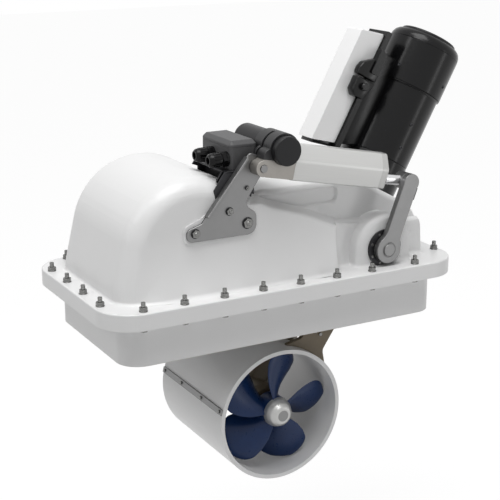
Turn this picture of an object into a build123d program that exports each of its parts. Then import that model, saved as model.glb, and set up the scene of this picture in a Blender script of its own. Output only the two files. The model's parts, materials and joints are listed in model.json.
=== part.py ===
from build123d import *
import os
from math import acos, atan2, cos, degrees, hypot, pi, radians, sin, sqrt, tan

# Retractable bow thruster. Millimetres, +Z up. The origin is the centre of the housing
# flange's top face, +X runs along the housing towards the motor, -Y is the side with the
# actuator. The thruster is shown lowered, with its tunnel below the hull line.

os.makedirs("parts", exist_ok=True)

# Fits between pieces
BOLTED_FIT = 0.05
RUNNING_FIT = 0.04
FREE_GAP = 0.5

# Hull box below the flange
BOX_LENGTH, BOX_WIDTH, BOX_CORNER = 676.0, 330.0, 44.0
BOX_BOTTOM = -110.0
BOX_WALL = 7.0
BOX_ROOT_ROUND = 4.0

# Flange joint between the housing and the hull box, which stands out all round the box
END_LAND, SIDE_LAND = 40.0, 31.0
FLANGE_LENGTH = BOX_LENGTH + 2 * END_LAND
FLANGE_WIDTH = BOX_WIDTH + 2 * SIDE_LAND
FLANGE_CORNER = 70.0
GASKET_INSET = 3.0
LID_PLATE, GASKET_THICK, BASE_PLATE = 14.0, 3.0, 14.3
LID_RIM = 6.5
EDGE_ROUND = 3.0
BOLT_INSET = 14.0
BOLT_RADIUS, BOLT_HOLE_RADIUS = 4.0, 4.5
BOLT_TIP = 17.0
LONG_SIDE_BOLTS = 8
LONG_SIDE_START, LONG_SIDE_LAST_GAP, LONG_SIDE_END = 68.2, 100.7, 108.3
SHORT_SIDE_BOLTS = 4
SHORT_SIDE_START = 77.2
NUT_ACROSS, NUT_HEIGHT = 13.0, 6.8
WASHER_RADIUS, WASHER_THICK = 8.0, 1.6
HEAD_HEIGHT = 5.3

# Dome of the housing, drawn on its side view
DOME_HALF_WIDTH = 142.0
DOME_WALL = 6.0
DOME_EDGE = 36.0
DOME_FOOT_ROUND = 6.0
DOME_SETBACK = 6.0
DOME_LEFT, DOME_RIGHT = -BOX_LENGTH / 2, BOX_LENGTH / 2 - DOME_SETBACK
DOME_LEFT_DRAFT, DOME_RIGHT_DRAFT = 7.0, 6.0
DOME_LEFT_SHOULDER = 125.0
DOME_CROWN_RUN = 88.0
DOME_CROWN_END = -144.0
DOME_CROWN_HEIGHT = 217.0
DOME_BACK_START = -30.0
DOME_BACK_HEIGHT = 165.0
DOME_ROUNDS = (60.0, 90.0, 120.0, 120.0, 30.0, 65.0)

# Swing axis of the leg, along Y
PIVOT_X, PIVOT_Z = 215.0, 33.0

# Pods that hold the swing bearings
POD_X, POD_Z, POD_RADIUS = 219.0, 34.0, 64.0
POD_FACE = 153.0
POD_EDGE = 11.0

# Hollow along the front of the dome, which the actuator swings down into
HOLLOW_BACK, HOLLOW_SLOPE = 110.0, 20.0
HOLLOW_LEFT, HOLLOW_LEFT_Z = -92.0, 186.0
HOLLOW_FLOOR = ((-24.0, 151.0), (58.0, 124.0), (128.0, 92.0), (420.0, 62.0))
HOLLOW_ROUNDS = (60.0, 90.0, 30.0)
HOLLOW_EDGE = 12.0
CREASE_ROUND = 10.0
STEP_BACK, STEP_LEFT, STEP_SLOPE = 124.0, 118.0, 10.0
ALCOVE_BACK, ALCOVE_SLOPE = 104.0, 25.0
ALCOVE_LEFT, ALCOVE_RIGHT = -50.0, 131.0
ALCOVE_BOTTOM, ALCOVE_TOP = 127.0, 155.0
ALCOVE_ROUND = 10.0

# Leg and tunnel
LEG_LENGTH = 380.8
LEG_TURN = 34.1
TUNNEL_RADIUS, TUNNEL_BORE = 133.0, 125.0
TUNNEL_HALF = 129.0
CHEEK_FACE, CHEEK_THICK = 105.0, 10.0
CHEEK_HALF = 29.5
CHEEK_FOOT_HALF = 53.0
CHEEK_FLARE = 16.0
CHEEK_HUB = 34.0
STEM_RADIUS = 26.0
STEM_FOOT_RADIUS, STEM_FOOT_HEIGHT = 46.0, 140.0
STEM_SPACE = 64.8
STEM_TOP = LEG_LENGTH - STEM_SPACE
STEM_BORE = 20.0
BRIDGE_DROP = 30.0
LOW_BRIDGE, HIGH_BRIDGE = 174.0, STEM_TOP - BRIDGE_DROP
BRIDGE_THICK, BRIDGE_HALF = 12.0, 22.0
WEB_THICK, WEB_INSET = 8.0, 30.0
LEG_SCREW_RADIUS, LEG_SCREW_HEAD = 3.5, 2.5
LEG_SCREW_PLACES = (-9.0, 5.0)
DRIVE_SHAFT_RADIUS = 7.5
STRIP_ANGLE = 166.5
STRIP_WIDTH, STRIP_THICK = 12.0, 3.0

# Lower gearcase and propeller
GEARCASE_RADIUS = 37.0
GEARCASE_FRONT, GEARCASE_REAR = -62.0, 46.0
GEARCASE_WALL = 5.0
PINION_SPACE = 21.0
STRUT_LENGTH, STRUT_WIDTH = 66.0, 50.0
GEAR_MODULE = 3.0
PINION_TEETH, CROWN_TEETH = 12, 18
GEAR_FACE = 10.0
GEAR_BACKLASH = 0.3
PROP_SHAFT_RADIUS = 8.0
PROP_SHAFT_TIP = 14.0
SHAFT_SPACE = 6.0
FRONT_BEARING, SEAL_WIDTH = -30.0, 8.0
BLADES = 5
BLADE_SECTIONS = ((22.0, 34.0, 9.5, 0.0), (42.0, 52.0, 8.0, 2.0), (68.0, 72.0, 6.0, 5.0),
                  (94.0, 82.0, 4.4, 6.0), (112.0, 78.0, 3.4, 4.0), (126.0, 62.0, 2.8, 1.0))
PROP_PLANE = -92.0
PROP_RADIUS = 121.5
HUB_RADIUS = 29.5
HUB_FRONT, HUB_REAR = -110.0, -72.0
NOSE_FRONT, NOSE_FLAT = -136.0, 15.0
PROP_PITCH = 300.0

# Swing crank and its shafts
CRANK_RADIUS, CRANK_ANGLE = 135.4, 69.2
CRANK_FACE, CRANK_THICK = 172.0, 13.0
CRANK_END, CRANK_HUB, CRANK_HALF = 17.5, 27.0, 16.5
SWING_SHAFT_RADIUS = 14.0
BUSH_RADIUS = 18.0
DISC_RADIUS, DISC_THICK = 37.0, 5.0
SLEEVE_RADIUS = 24.0
DISC_SCREWS, DISC_SCREW_CIRCLE, DISC_SCREW_RADIUS = 8, 31.0, 3.0

# Actuator, which hangs from the bracket on the dome
ACTUATOR_Y = -146.0
BRACKET_X, BRACKET_Z = -66.0, 224.0
ROD_RADIUS = 10.4
EYE_RADIUS, EYE_HALF = 17.0, 12.0
PIN_RADIUS = 7.0
TUBE_START, TUBE_END = 88.0, 276.0
TUBE_BELOW, TUBE_ABOVE, TUBE_RIDGE = -21.0, 48.0, 15.0
TUBE_HALF, TUBE_TOP_HALF, TUBE_BOTTOM_HALF = 32.0, 10.0, 14.0
TUBE_WALL = 4.0
CAP_END = 294.0
GEARBOX_START, GEARBOX_END, GEARBOX_HALF = -4.0, 75.0, 29.0
GEARBOX_BELOW = -15.0
FORK_SLOT, FORK_DEPTH, FORK_REAR = 3.5, 26.0, 10.0
DRIVE_ALONG, DRIVE_ABOVE, DRIVE_RADIUS = 36.0, 37.0, 27.0
DRIVE_FRONT, DRIVE_GEAR, DRIVE_CAN, DRIVE_REAR = -44.0, -4.0, 30.0, 116.0

# Bracket plate and control box
PLATE_FACE, PLATE_THICK = 148.5, 5.0
PLATE_OUTLINE = ((-207.0, 99.0), (-66.0, 99.0), (-66.0, 138.0), (-91.0, 156.0), (-73.0, 183.0),
                 (-55.0, 208.0), (-49.0, 238.0), (-80.0, 250.0), (-177.0, 131.0), (-207.0, 122.0))
PLATE_ROUNDS = (12.0, 18.0, 15.0, 14.0, 20.0, 20.0, 10.0, 8.0, 10.0, 12.0)
FOLD_OUTLINE = ((-84.8, 240.9), (-166.6, 140.6), (-170.5, 143.8), (-88.6, 244.1))
FOLD_HEIGHT, FOLD_ROUND = 9.0, 1.0
PLATE_SCREWS = ((-190.4, 114.8, 9.0), (-84.8, 121.0, 11.0), (-85.8, 186.3, 4.5), (-121.7, 147.2, 8.0))
PLATE_SCREW_HEAD = 4.0
PAD_THICK, PAD_ROUND = 1.5, 12.0
PAD_OUTLINE = ((-212.0, 94.0), (-68.0, 94.0), (-68.0, 150.0),
               (-128.0, 176.0), (-176.0, 140.0), (-212.0, 126.0))
CONTROL_LEFT, CONTROL_RIGHT = -112.5, -56.0
CONTROL_FRONT, CONTROL_REAR = -134.0, -22.0
CONTROL_BOTTOM, CONTROL_TOP = 219.0, 270.0
CONTROL_LID, CONTROL_TRAY = 12.0, 4.0
CONTROL_CORNER, CONTROL_WALL, CONTROL_CHAMFER = 8.0, 4.0, 7.0
STAY_FOOT = ((-150.0, 187.0), (-145.0, 160.0), (-70.0, 160.0))
STAY_START = -128.0
GLAND_PITCH, GLAND_RADIUS, GLAND_LENGTH = 53.0, 14.0, 38.0
GLAND_NUT, GLAND_BORE = 14.0, 6.0
GLAND_Y, GLAND_Z = -94.0, 237.0

# Drive motor, whose axis runs through the swing axis
MOTOR_TURN = 28.7
MOTOR_SEAT = 101.0
MOUNT_TOP = 166.0
CAN_JOINT = 316.0
CAN_TOP = 404.0
LID_BOTTOM, MOTOR_TOP = 424.0, 430.0
CAN_RADIUS, UPPER_CAN_RADIUS = 70.5, 74.0
CAN_WALL = 7.0
LID_RADIUS = 58.0
SEAT_HOLE = 40.0
MOTOR_SHAFT_RADIUS = 9.0
MOTOR_BEARING_RADIUS, BEARING_THICK = 22.0, 12.0
ARMATURE_RADIUS, ARMATURE_START, ARMATURE_END = 50.0, 190.0, 300.0
MAGNET_THICK = 10.0
COUPLING_RADIUS = 22.0
COUPLING_WALL = 5.0

# Motor controller beside the motor
COVER_NEAR, COVER_FAR = 120.0, 174.0
COVER_HALF = 25.0
COVER_BOTTOM, COVER_TOP = 161.0, 382.0
COVER_LEAN = 14.0
BASE_NEAR = 108.0
BASE_HALF = 32.0
BASE_BELOW, BASE_ABOVE = 22.0, 8.0
ARM_LENGTH, ARM_WIDTH, ARM_HEIGHT = 48.0, 30.0, 24.0
LOW_ARM, HIGH_ARM = 191.0, 332.0
LUG_BOTTOM, LUG_SHOULDER, LUG_TOP = 300.0, 345.0, 352.0
LUG_WIDTH, LUG_OVERLAP = 16.0, 6.0

FLANGE_BOTTOM = -(LID_PLATE + GASKET_THICK + BASE_PLATE)
LEG_X = PIVOT_X - LEG_LENGTH * sin(radians(LEG_TURN))
LEG_Z = PIVOT_Z - LEG_LENGTH * cos(radians(LEG_TURN))
LEG = Location((LEG_X, 0, LEG_Z), (0, LEG_TURN, 0))
PROP = Location((LEG_X, 0, LEG_Z))
MOTOR = Location((PIVOT_X, 0, PIVOT_Z), (0, MOTOR_TURN, 0))
PIN_X = PIVOT_X + CRANK_RADIUS * cos(radians(CRANK_ANGLE))
PIN_Z = PIVOT_Z + CRANK_RADIUS * sin(radians(CRANK_ANGLE))
ACTUATOR_TILT = degrees(atan2(BRACKET_Z - PIN_Z, PIN_X - BRACKET_X))
ACTUATOR_LENGTH = hypot(BRACKET_Z - PIN_Z, PIN_X - BRACKET_X)
ACTUATOR = Location((BRACKET_X, ACTUATOR_Y, BRACKET_Z), (0, ACTUATOR_TILT, 0))
CRANK = Location((PIVOT_X, 0, PIVOT_Z), (0, -CRANK_ANGLE, 0))


def save(name, *shapes):
    """Writes one node, as one solid or a group of separate ones."""
    solids = [solid for shape in shapes for solid in shape.solids()]
    export_step(solids[0] if len(solids) == 1 else Compound(children=solids), f"parts/{name}.step")


def slab(length, width, corner, bottom, top):
    """A flat plate with rounded plan corners, between two heights."""
    return Pos(0, 0, bottom) * extrude(RectangleRounded(length, width, corner), top - bottom)


def bar_y(radius, start, end, x=0.0, z=0.0):
    """A round bar along Y."""
    return Pos(x, (start + end) / 2, z) * Rot(90, 0, 0) * Cylinder(radius, end - start)


def bar_z(radius, bottom, top, x=0.0, y=0.0):
    """A round bar along Z."""
    return Pos(x, y, (bottom + top) / 2) * Cylinder(radius, top - bottom)


def bar_x(radius, start, end, y=0.0, z=0.0):
    """A round bar along X."""
    return Pos((start + end) / 2, y, z) * Rot(0, 90, 0) * Cylinder(radius, end - start)


def side_plate(outline, front, back):
    """An outline drawn in the XZ view, as a plate between two values of Y."""
    return Pos(0, back, 0) * extrude(Plane.XZ * outline, back - front)


def rounded(points, radii):
    """A closed outline with one radius, or a radius at each corner."""
    return make_face(FilletPolyline(*points, radius=radii, close=True))


def turned(points):
    """A solid of revolution about Z from a profile of radius and height."""
    return revolve(Plane.XZ * make_face(Polyline(*points, close=True)), Axis.Z)


def motor_level():
    """Distance of the motor's seat plane from the origin, along the motor axis."""
    turn = radians(MOTOR_TURN)
    return PIVOT_X * sin(turn) + PIVOT_Z * cos(turn) + MOTOR_SEAT


def dome_outline(inset):
    """Side view of the dome, drawn in from its outside by inset."""
    turn = radians(MOTOR_TURN)
    seat_start = (motor_level() - DOME_BACK_HEIGHT * cos(turn)) / sin(turn)
    shoulder = DOME_RIGHT - DOME_RIGHT_DRAFT
    seat_end = (motor_level() - shoulder * sin(turn)) / cos(turn)
    foot = 2 * FLANGE_BOTTOM
    left_slope = DOME_LEFT_DRAFT / DOME_LEFT_SHOULDER
    right_slope = -DOME_RIGHT_DRAFT / seat_end
    points = [(DOME_LEFT + left_slope * foot, foot), (DOME_LEFT + DOME_LEFT_DRAFT, DOME_LEFT_SHOULDER),
              (DOME_LEFT + DOME_CROWN_RUN, DOME_CROWN_HEIGHT), (DOME_CROWN_END, DOME_CROWN_HEIGHT),
              (DOME_BACK_START, DOME_BACK_HEIGHT), (seat_start, DOME_BACK_HEIGHT),
              (shoulder, seat_end), (DOME_RIGHT + right_slope * foot, foot)]
    outline = rounded(points, [0, *DOME_ROUNDS, 0])
    return offset(outline, -inset) if inset else outline


def span(side, near, far):
    """Two values of Y on one side of the middle plane, the lower one first."""
    return sorted((side * near, side * far))


def edges_at_y(shape, y, keep):
    """Edges that lie in the plane at y and pass a test on their middle."""
    return [edge for edge in shape.edges()
            if abs(edge.bounding_box().min.Y - y) < 0.01 and abs(edge.bounding_box().max.Y - y) < 0.01
            and keep(edge.center())]


def dome_block(inset, front, rear, edge_round, both):
    """The dome's side view as a block, with its rims rounded."""
    block = side_plate(dome_outline(inset), front, rear)
    lowest = 2 * FLANGE_BOTTOM + inset + 1
    rims = edges_at_y(block, front, lambda c: c.Z > lowest)
    if both:
        rims += edges_at_y(block, rear, lambda c: c.Z > lowest)
    return fillet(rims, edge_round)


def hollow_cut(outline, back, slope, length, grow):
    """A space cut into the front of the dome, widening outwards from its back."""
    face = offset(outline, grow) if grow else outline
    return Pos(0, -back + grow, 0) * extrude(Plane.XZ * face, length, taper=-slope)


def pods(inset):
    """The two bearing pods, front and rear, as one block through the dome."""
    foot = 2 * FLANGE_BOTTOM
    radius, half = POD_RADIUS - inset, POD_FACE - inset
    arch = Pos(POD_X, POD_Z) * Circle(radius)
    arch += Pos(POD_X, (POD_Z + foot) / 2) * Rectangle(2 * radius, POD_Z - foot)
    block = side_plate(arch, -half, half)
    rims = edges_at_y(block, -half, lambda c: c.Z > foot + 1)
    rims += edges_at_y(block, half, lambda c: c.Z > foot + 1)
    return fillet(rims, POD_EDGE - inset)


def dome(inset):
    """The dome with its hollow and pods, drawn in from its outside by inset."""
    high = 2 * DOME_BACK_HEIGHT
    far = 2 * DOME_RIGHT
    body = dome_block(inset, inset - DOME_HALF_WIDTH, DOME_HALF_WIDTH - inset,
                      DOME_EDGE - inset, True)
    floor = [(HOLLOW_LEFT, HOLLOW_LEFT_Z), *HOLLOW_FLOOR,
             (HOLLOW_FLOOR[-1][0], high), (HOLLOW_LEFT, high)]
    hollow = rounded(floor, [0, *HOLLOW_ROUNDS, 0, 0, 0])
    grown = offset(hollow, inset) if inset else hollow
    body -= hollow_cut(hollow, HOLLOW_BACK, HOLLOW_SLOPE, 2 * CREASE_ROUND + DOME_EDGE, inset)
    body -= side_plate(grown, inset - HOLLOW_BACK, inset - HOLLOW_BACK + DOME_EDGE)
    step = rounded([(STEP_LEFT, -far), (far, -far), (far, far), (STEP_LEFT, far)], 0)
    body -= hollow_cut(step, STEP_BACK, STEP_SLOPE, 2 * CREASE_ROUND + DOME_EDGE, inset)
    if not inset:
        crease = edges_at_y(body, -DOME_HALF_WIDTH,
                            lambda c: c.Z > 2 * FLANGE_BOTTOM + 1 and c.X > HOLLOW_LEFT + DOME_EDGE)
        body = fillet(crease, CREASE_ROUND)
    body += dome_block(inset, inset - HOLLOW_BACK, 0, HOLLOW_EDGE - inset, False)
    alcove = rounded([(ALCOVE_LEFT, ALCOVE_BOTTOM), (ALCOVE_RIGHT, ALCOVE_BOTTOM),
                      (ALCOVE_RIGHT, ALCOVE_TOP), (ALCOVE_LEFT, ALCOVE_TOP)], ALCOVE_ROUND)
    body -= hollow_cut(alcove, ALCOVE_BACK, ALCOVE_SLOPE, HOLLOW_BACK - ALCOVE_BACK + 3, inset)
    return body + pods(inset)


def above_flange(height):
    """The space above a height over the flange's top face."""
    return Pos(0, 0, height + DOME_CROWN_HEIGHT) * Box(
        FLANGE_LENGTH, FLANGE_WIDTH, 2 * DOME_CROWN_HEIGHT)


def flange_bolt_places():
    """Plan positions of the bolts round the flange."""
    side_x, side_y = FLANGE_LENGTH / 2 - BOLT_INSET, FLANGE_WIDTH / 2 - BOLT_INSET
    first, last = LONG_SIDE_START - FLANGE_LENGTH / 2, FLANGE_LENGTH / 2 - LONG_SIDE_END
    pitch = (last - LONG_SIDE_LAST_GAP - first) / (LONG_SIDE_BOLTS - 2)
    along = [first + pitch * i for i in range(LONG_SIDE_BOLTS - 1)] + [last]
    start = SHORT_SIDE_START - FLANGE_WIDTH / 2
    across = [start - 2 * start * i / (SHORT_SIDE_BOLTS - 1) for i in range(SHORT_SIDE_BOLTS)]
    return ([(x, side * side_y) for side in (-1, 1) for x in along]
            + [(side * side_x, y) for side in (-1, 1) for y in across])


def bolt_holes(bottom, top):
    """The clearance holes of the flange bolts."""
    hole = bar_z(BOLT_HOLE_RADIUS, bottom, top)
    return [Pos(x, y, 0) * hole for x, y in flange_bolt_places()]


def housing_shell(block):
    """The moulded upper housing: dome, pods, flange lid and bracket pad."""
    lid = slab(FLANGE_LENGTH, FLANGE_WIDTH, FLANGE_CORNER, FLANGE_BOTTOM, 0)
    lid = fillet(lid.edges().group_by(Axis.Z)[-1], EDGE_ROUND)
    block += lid
    foot = [edge for edge in block.edges()
            if abs(edge.bounding_box().min.Z) < 0.01 and abs(edge.bounding_box().max.Z) < 0.01
            and abs(edge.center().Y) < POD_FACE + 5 and abs(edge.center().X) < -DOME_LEFT + 5]
    block = fillet(foot, DOME_FOOT_ROUND)
    pad = rounded(PAD_OUTLINE, PAD_ROUND)
    block += side_plate(pad, -DOME_HALF_WIDTH - PAD_THICK, -DOME_HALF_WIDTH + PAD_THICK)
    boss = MOTOR * bar_z(CAN_RADIUS + 1.5, MOTOR_SEAT - DOME_EDGE, MOTOR_SEAT)
    block += boss
    inset = 2 * LID_RIM
    block -= slab(FLANGE_LENGTH - inset, FLANGE_WIDTH - inset, FLANGE_CORNER - LID_RIM,
                  2 * FLANGE_BOTTOM, -LID_PLATE)
    block -= dome(DOME_WALL)
    block -= MOTOR * bar_z(SEAT_HOLE, 0, MOTOR_SEAT + 1)
    for side in (-1, 1):
        block -= bar_y(SLEEVE_RADIUS + BOLTED_FIT, *span(side, POD_FACE - 20, POD_FACE + 5),
                       PIVOT_X, PIVOT_Z)
        seat = bar_y(DISC_RADIUS + FREE_GAP, *span(side, POD_FACE, POD_FACE + DISC_THICK + 3),
                     PIVOT_X, PIVOT_Z)
        block -= seat & above_flange(0)
    for hole in bolt_holes(2 * FLANGE_BOTTOM, 1):
        block -= hole
    return block


def hull_base():
    """The lower moulding: base flange and the box that is bonded into the hull."""
    inset = 2 * (LID_RIM + FREE_GAP)
    top = -(LID_PLATE + GASKET_THICK)
    base = slab(FLANGE_LENGTH - inset, FLANGE_WIDTH - inset, FLANGE_CORNER - inset / 2,
                FLANGE_BOTTOM, top)
    base += slab(BOX_LENGTH, BOX_WIDTH, BOX_CORNER, BOX_BOTTOM, FLANGE_BOTTOM)
    root = [edge for edge in base.edges() if abs(edge.bounding_box().min.Z - FLANGE_BOTTOM) < 0.01
            and abs(edge.bounding_box().max.Z - FLANGE_BOTTOM) < 0.01
            and abs(edge.center().X) < BOX_LENGTH / 2 + 1 and abs(edge.center().Y) < BOX_WIDTH / 2 + 1]
    base = fillet(root, BOX_ROOT_ROUND)
    base -= slab(BOX_LENGTH - 2 * BOX_WALL, BOX_WIDTH - 2 * BOX_WALL, BOX_CORNER - BOX_WALL,
                 BOX_BOTTOM - 1, top + 1)
    for hole in bolt_holes(FLANGE_BOTTOM - 1, top + 1):
        base -= hole
    return base


def gasket():
    """The seal between the housing and the hull box."""
    inset = 2 * (LID_RIM + FREE_GAP)
    ring = slab(FLANGE_LENGTH - inset, FLANGE_WIDTH - inset, FLANGE_CORNER - inset / 2,
                -(LID_PLATE + GASKET_THICK), -LID_PLATE)
    ring -= slab(BOX_LENGTH + 2 * GASKET_INSET, BOX_WIDTH + 2 * GASKET_INSET, BOX_CORNER,
                 FLANGE_BOTTOM, 0)
    for hole in bolt_holes(FLANGE_BOTTOM, 0):
        ring -= hole
    return ring


def flange_fasteners():
    """Bolts from below, with a washer and a nut on top of the lid."""
    head = extrude(RegularPolygon(NUT_ACROSS / 2, 6, major_radius=False), HEAD_HEIGHT)
    bolt = Pos(0, 0, FLANGE_BOTTOM - HEAD_HEIGHT) * head + bar_z(BOLT_RADIUS, FLANGE_BOTTOM, BOLT_TIP)
    hole = bar_z(BOLT_RADIUS + BOLTED_FIT, -1, NUT_HEIGHT + WASHER_THICK + 1)
    washer = bar_z(WASHER_RADIUS, 0, WASHER_THICK) - hole
    nut = Pos(0, 0, WASHER_THICK) * extrude(
        RegularPolygon(NUT_ACROSS / 2, 6, major_radius=False), NUT_HEIGHT) - hole
    places = [Pos(x, y, 0) for x, y in flange_bolt_places()]
    save("flange_bolts", *[place * bolt for place in places])
    save("flange_washers", *[place * washer for place in places])
    save("flange_nuts", *[place * nut for place in places])


def swing_bearings():
    """Flanged housings in the pods, with their bushes and screws."""
    discs, bushes, screws = [], [], []
    for side in (-1, 1):
        inner = POD_FACE - 18
        disc = bar_y(DISC_RADIUS, *span(side, POD_FACE, POD_FACE + DISC_THICK), PIVOT_X, PIVOT_Z)
        disc += bar_y(SLEEVE_RADIUS, *span(side, inner, POD_FACE), PIVOT_X, PIVOT_Z)
        disc &= above_flange(FREE_GAP)
        disc -= bar_y(BUSH_RADIUS, *span(side, inner - 1, POD_FACE + DISC_THICK + 1), PIVOT_X, PIVOT_Z)
        bush = bar_y(BUSH_RADIUS, *span(side, inner, POD_FACE + DISC_THICK), PIVOT_X, PIVOT_Z)
        bush -= bar_y(SWING_SHAFT_RADIUS + RUNNING_FIT, *span(side, inner - 1, POD_FACE + DISC_THICK + 1),
                      PIVOT_X, PIVOT_Z)
        for i in range(DISC_SCREWS):
            angle = radians(25 + 360 / DISC_SCREWS * i)
            x = PIVOT_X + DISC_SCREW_CIRCLE * cos(angle)
            z = PIVOT_Z + DISC_SCREW_CIRCLE * sin(angle)
            hole = bar_y(DISC_SCREW_RADIUS, *span(side, POD_FACE + 1.5, POD_FACE + DISC_THICK + 1), x, z)
            disc -= hole
            screws.append(bar_y(DISC_SCREW_RADIUS - BOLTED_FIT,
                                *span(side, POD_FACE + 1.5, POD_FACE + DISC_THICK), x, z))
        discs.append(disc)
        bushes.append(bush)
    save("bearing_flanges", *discs)
    save("bearing_bushes", *bushes)
    save("bearing_screws", *screws)


def swing_shafts():
    """Stub shafts bolted to the leg's cheeks, which turn in the pods."""
    shafts = []
    for side in (-1, 1):
        end = CRANK_FACE if side < 0 else POD_FACE + DISC_THICK - 1
        shaft = bar_y(CHEEK_HUB - 4, *span(side, CHEEK_FACE, CHEEK_FACE + 8), PIVOT_X, PIVOT_Z)
        shaft += bar_y(SWING_SHAFT_RADIUS + 5, *span(side, CHEEK_FACE + 8, POD_FACE - 19), PIVOT_X, PIVOT_Z)
        shaft += bar_y(SWING_SHAFT_RADIUS, *span(side, POD_FACE - 19, end), PIVOT_X, PIVOT_Z)
        shafts.append(shaft)
    return shafts


def crank_pieces():
    """The crank on the end of the front stub shaft, its cap and the switch flag."""
    reach = CRANK_RADIUS
    front, back = -CRANK_FACE, CRANK_THICK - CRANK_FACE
    arm = Pos(reach / 2, 0) * Rectangle(reach, 2 * CRANK_HALF)
    outline = arm + Circle(CRANK_HUB) + Pos(reach, 0) * Circle(CRANK_END)
    waist = [v for v in outline.vertices() if v.X < reach / 2 and abs(abs(v.Y) - CRANK_HALF) < 0.01]
    outline = fillet(waist, 40)
    crank = side_plate(outline, front, back)
    crank -= bar_y(SWING_SHAFT_RADIUS + BOLTED_FIT, front - 1, back + 1)
    cap = bar_y(SWING_SHAFT_RADIUS - 1.5, front - 2.5, front)
    cap = chamfer(cap.edges().group_by(Axis.Y)[0], 1.0)
    flag = Pos(reach - 18, (front + back) / 2, -CRANK_HALF - 1.6) * Box(24, 9, 3)
    return CRANK * crank, CRANK * cap, CRANK * flag


def cheek_outline():
    """Front view of one cheek plate of the leg, up the leg from the tunnel."""
    foot = sqrt(TUNNEL_RADIUS ** 2 - CHEEK_FOOT_HALF ** 2)
    neck = TUNNEL_RADIUS + CHEEK_FLARE
    top = LEG_LENGTH
    edge = 3.0
    points = [(-CHEEK_FOOT_HALF, foot - 20), (CHEEK_FOOT_HALF, foot - 20),
              (CHEEK_FOOT_HALF, foot + edge), (CHEEK_HALF, neck), (CHEEK_HALF, top),
              (-CHEEK_HALF, top), (-CHEEK_HALF, neck), (-CHEEK_FOOT_HALF, foot + edge)]
    face = rounded(points, [0, 0, 2, 16, 0, 0, 16, 2])
    return face + Pos(0, top) * Circle(CHEEK_HUB)


def leg_pieces():
    """The cheeks, the central stem, the bridges and webs between them, and the screws."""
    keep = bar_y(TUNNEL_RADIUS, -TUNNEL_HALF, TUNNEL_HALF)
    cheeks = []
    for side in (-1, 1):
        near, far = span(side, CHEEK_FACE, CHEEK_FACE - CHEEK_THICK)
        cheeks.append(side_plate(cheek_outline(), near, far) - keep)
    foot = STEM_FOOT_HEIGHT
    stem = turned([(STEM_BORE, TUNNEL_BORE), (STEM_FOOT_RADIUS, TUNNEL_BORE), (STEM_FOOT_RADIUS, foot),
                   (STEM_RADIUS + 7, foot + 3), (STEM_RADIUS + 2, foot + 10), (STEM_RADIUS, foot + 20),
                   (STEM_RADIUS, STEM_TOP), (STEM_BORE, STEM_TOP)])
    stem -= keep
    inside = CHEEK_FACE - CHEEK_THICK
    seat = bar_z(STEM_RADIUS + BOLTED_FIT, 0, LEG_LENGTH)
    frame = []
    for height in (LOW_BRIDGE, HIGH_BRIDGE):
        frame.append(Pos(0, 0, height) * Box(2 * BRIDGE_HALF, 2 * inside, BRIDGE_THICK) - seat)
    web_height = HIGH_BRIDGE - LOW_BRIDGE - BRIDGE_THICK
    for side in (-1, 1):
        near, far = span(side, 0, inside - WEB_INSET)
        web = Pos(0, (near + far) / 2, (LOW_BRIDGE + HIGH_BRIDGE) / 2) * Box(WEB_THICK, far - near, web_height)
        frame.append(web - seat)
    screws = []
    for side in (-1, 1):
        for height in (LOW_BRIDGE, HIGH_BRIDGE):
            for place in LEG_SCREW_PLACES:
                screws.append(Pos(place, 0, height) * bar_y(
                    LEG_SCREW_RADIUS, *span(side, CHEEK_FACE, CHEEK_FACE + LEG_SCREW_HEAD)))
    return cheeks, stem, frame, screws


def tunnel_pieces():
    """The tunnel ring with the slot for the strut, its side strip and screws."""
    ring = bar_y(TUNNEL_RADIUS, -TUNNEL_HALF, TUNNEL_HALF) - bar_y(TUNNEL_BORE, -200, 200)
    slot = bar_z(STEM_BORE, 100, 150) + Pos(0, 0, 125) * extrude(strut_outline(), 40, both=True)
    ring -= slot
    outer = TUNNEL_RADIUS + STRIP_THICK
    turn = Rot(0, -LEG_TURN - STRIP_ANGLE, 0)
    strip = bar_y(outer, -TUNNEL_HALF + 1, TUNNEL_HALF - 1) - bar_y(TUNNEL_RADIUS, -200, 200)
    strip &= Pos(outer, 0, 0) * Box(30, 300, STRIP_WIDTH)
    screws = []
    for y in (-TUNNEL_HALF + 10, -TUNNEL_HALF / 3, TUNNEL_HALF / 3, TUNNEL_HALF - 10):
        screws.append(turn * bar_x(LEG_SCREW_RADIUS, outer, outer + LEG_SCREW_HEAD, y, 0))
    return ring, turn * strip, screws


def strut_outline():
    """Section of the strut between the gearcase and the tunnel."""
    half = STRUT_LENGTH / 2
    points = [(0, -half), (STRUT_WIDTH / 2, -half / 3), (STRUT_WIDTH / 2, half / 3), (0, half),
              (-STRUT_WIDTH / 2, half / 3), (-STRUT_WIDTH / 2, -half / 3)]
    return rounded(points, [6, 14, 14, 6, 14, 14])


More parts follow.
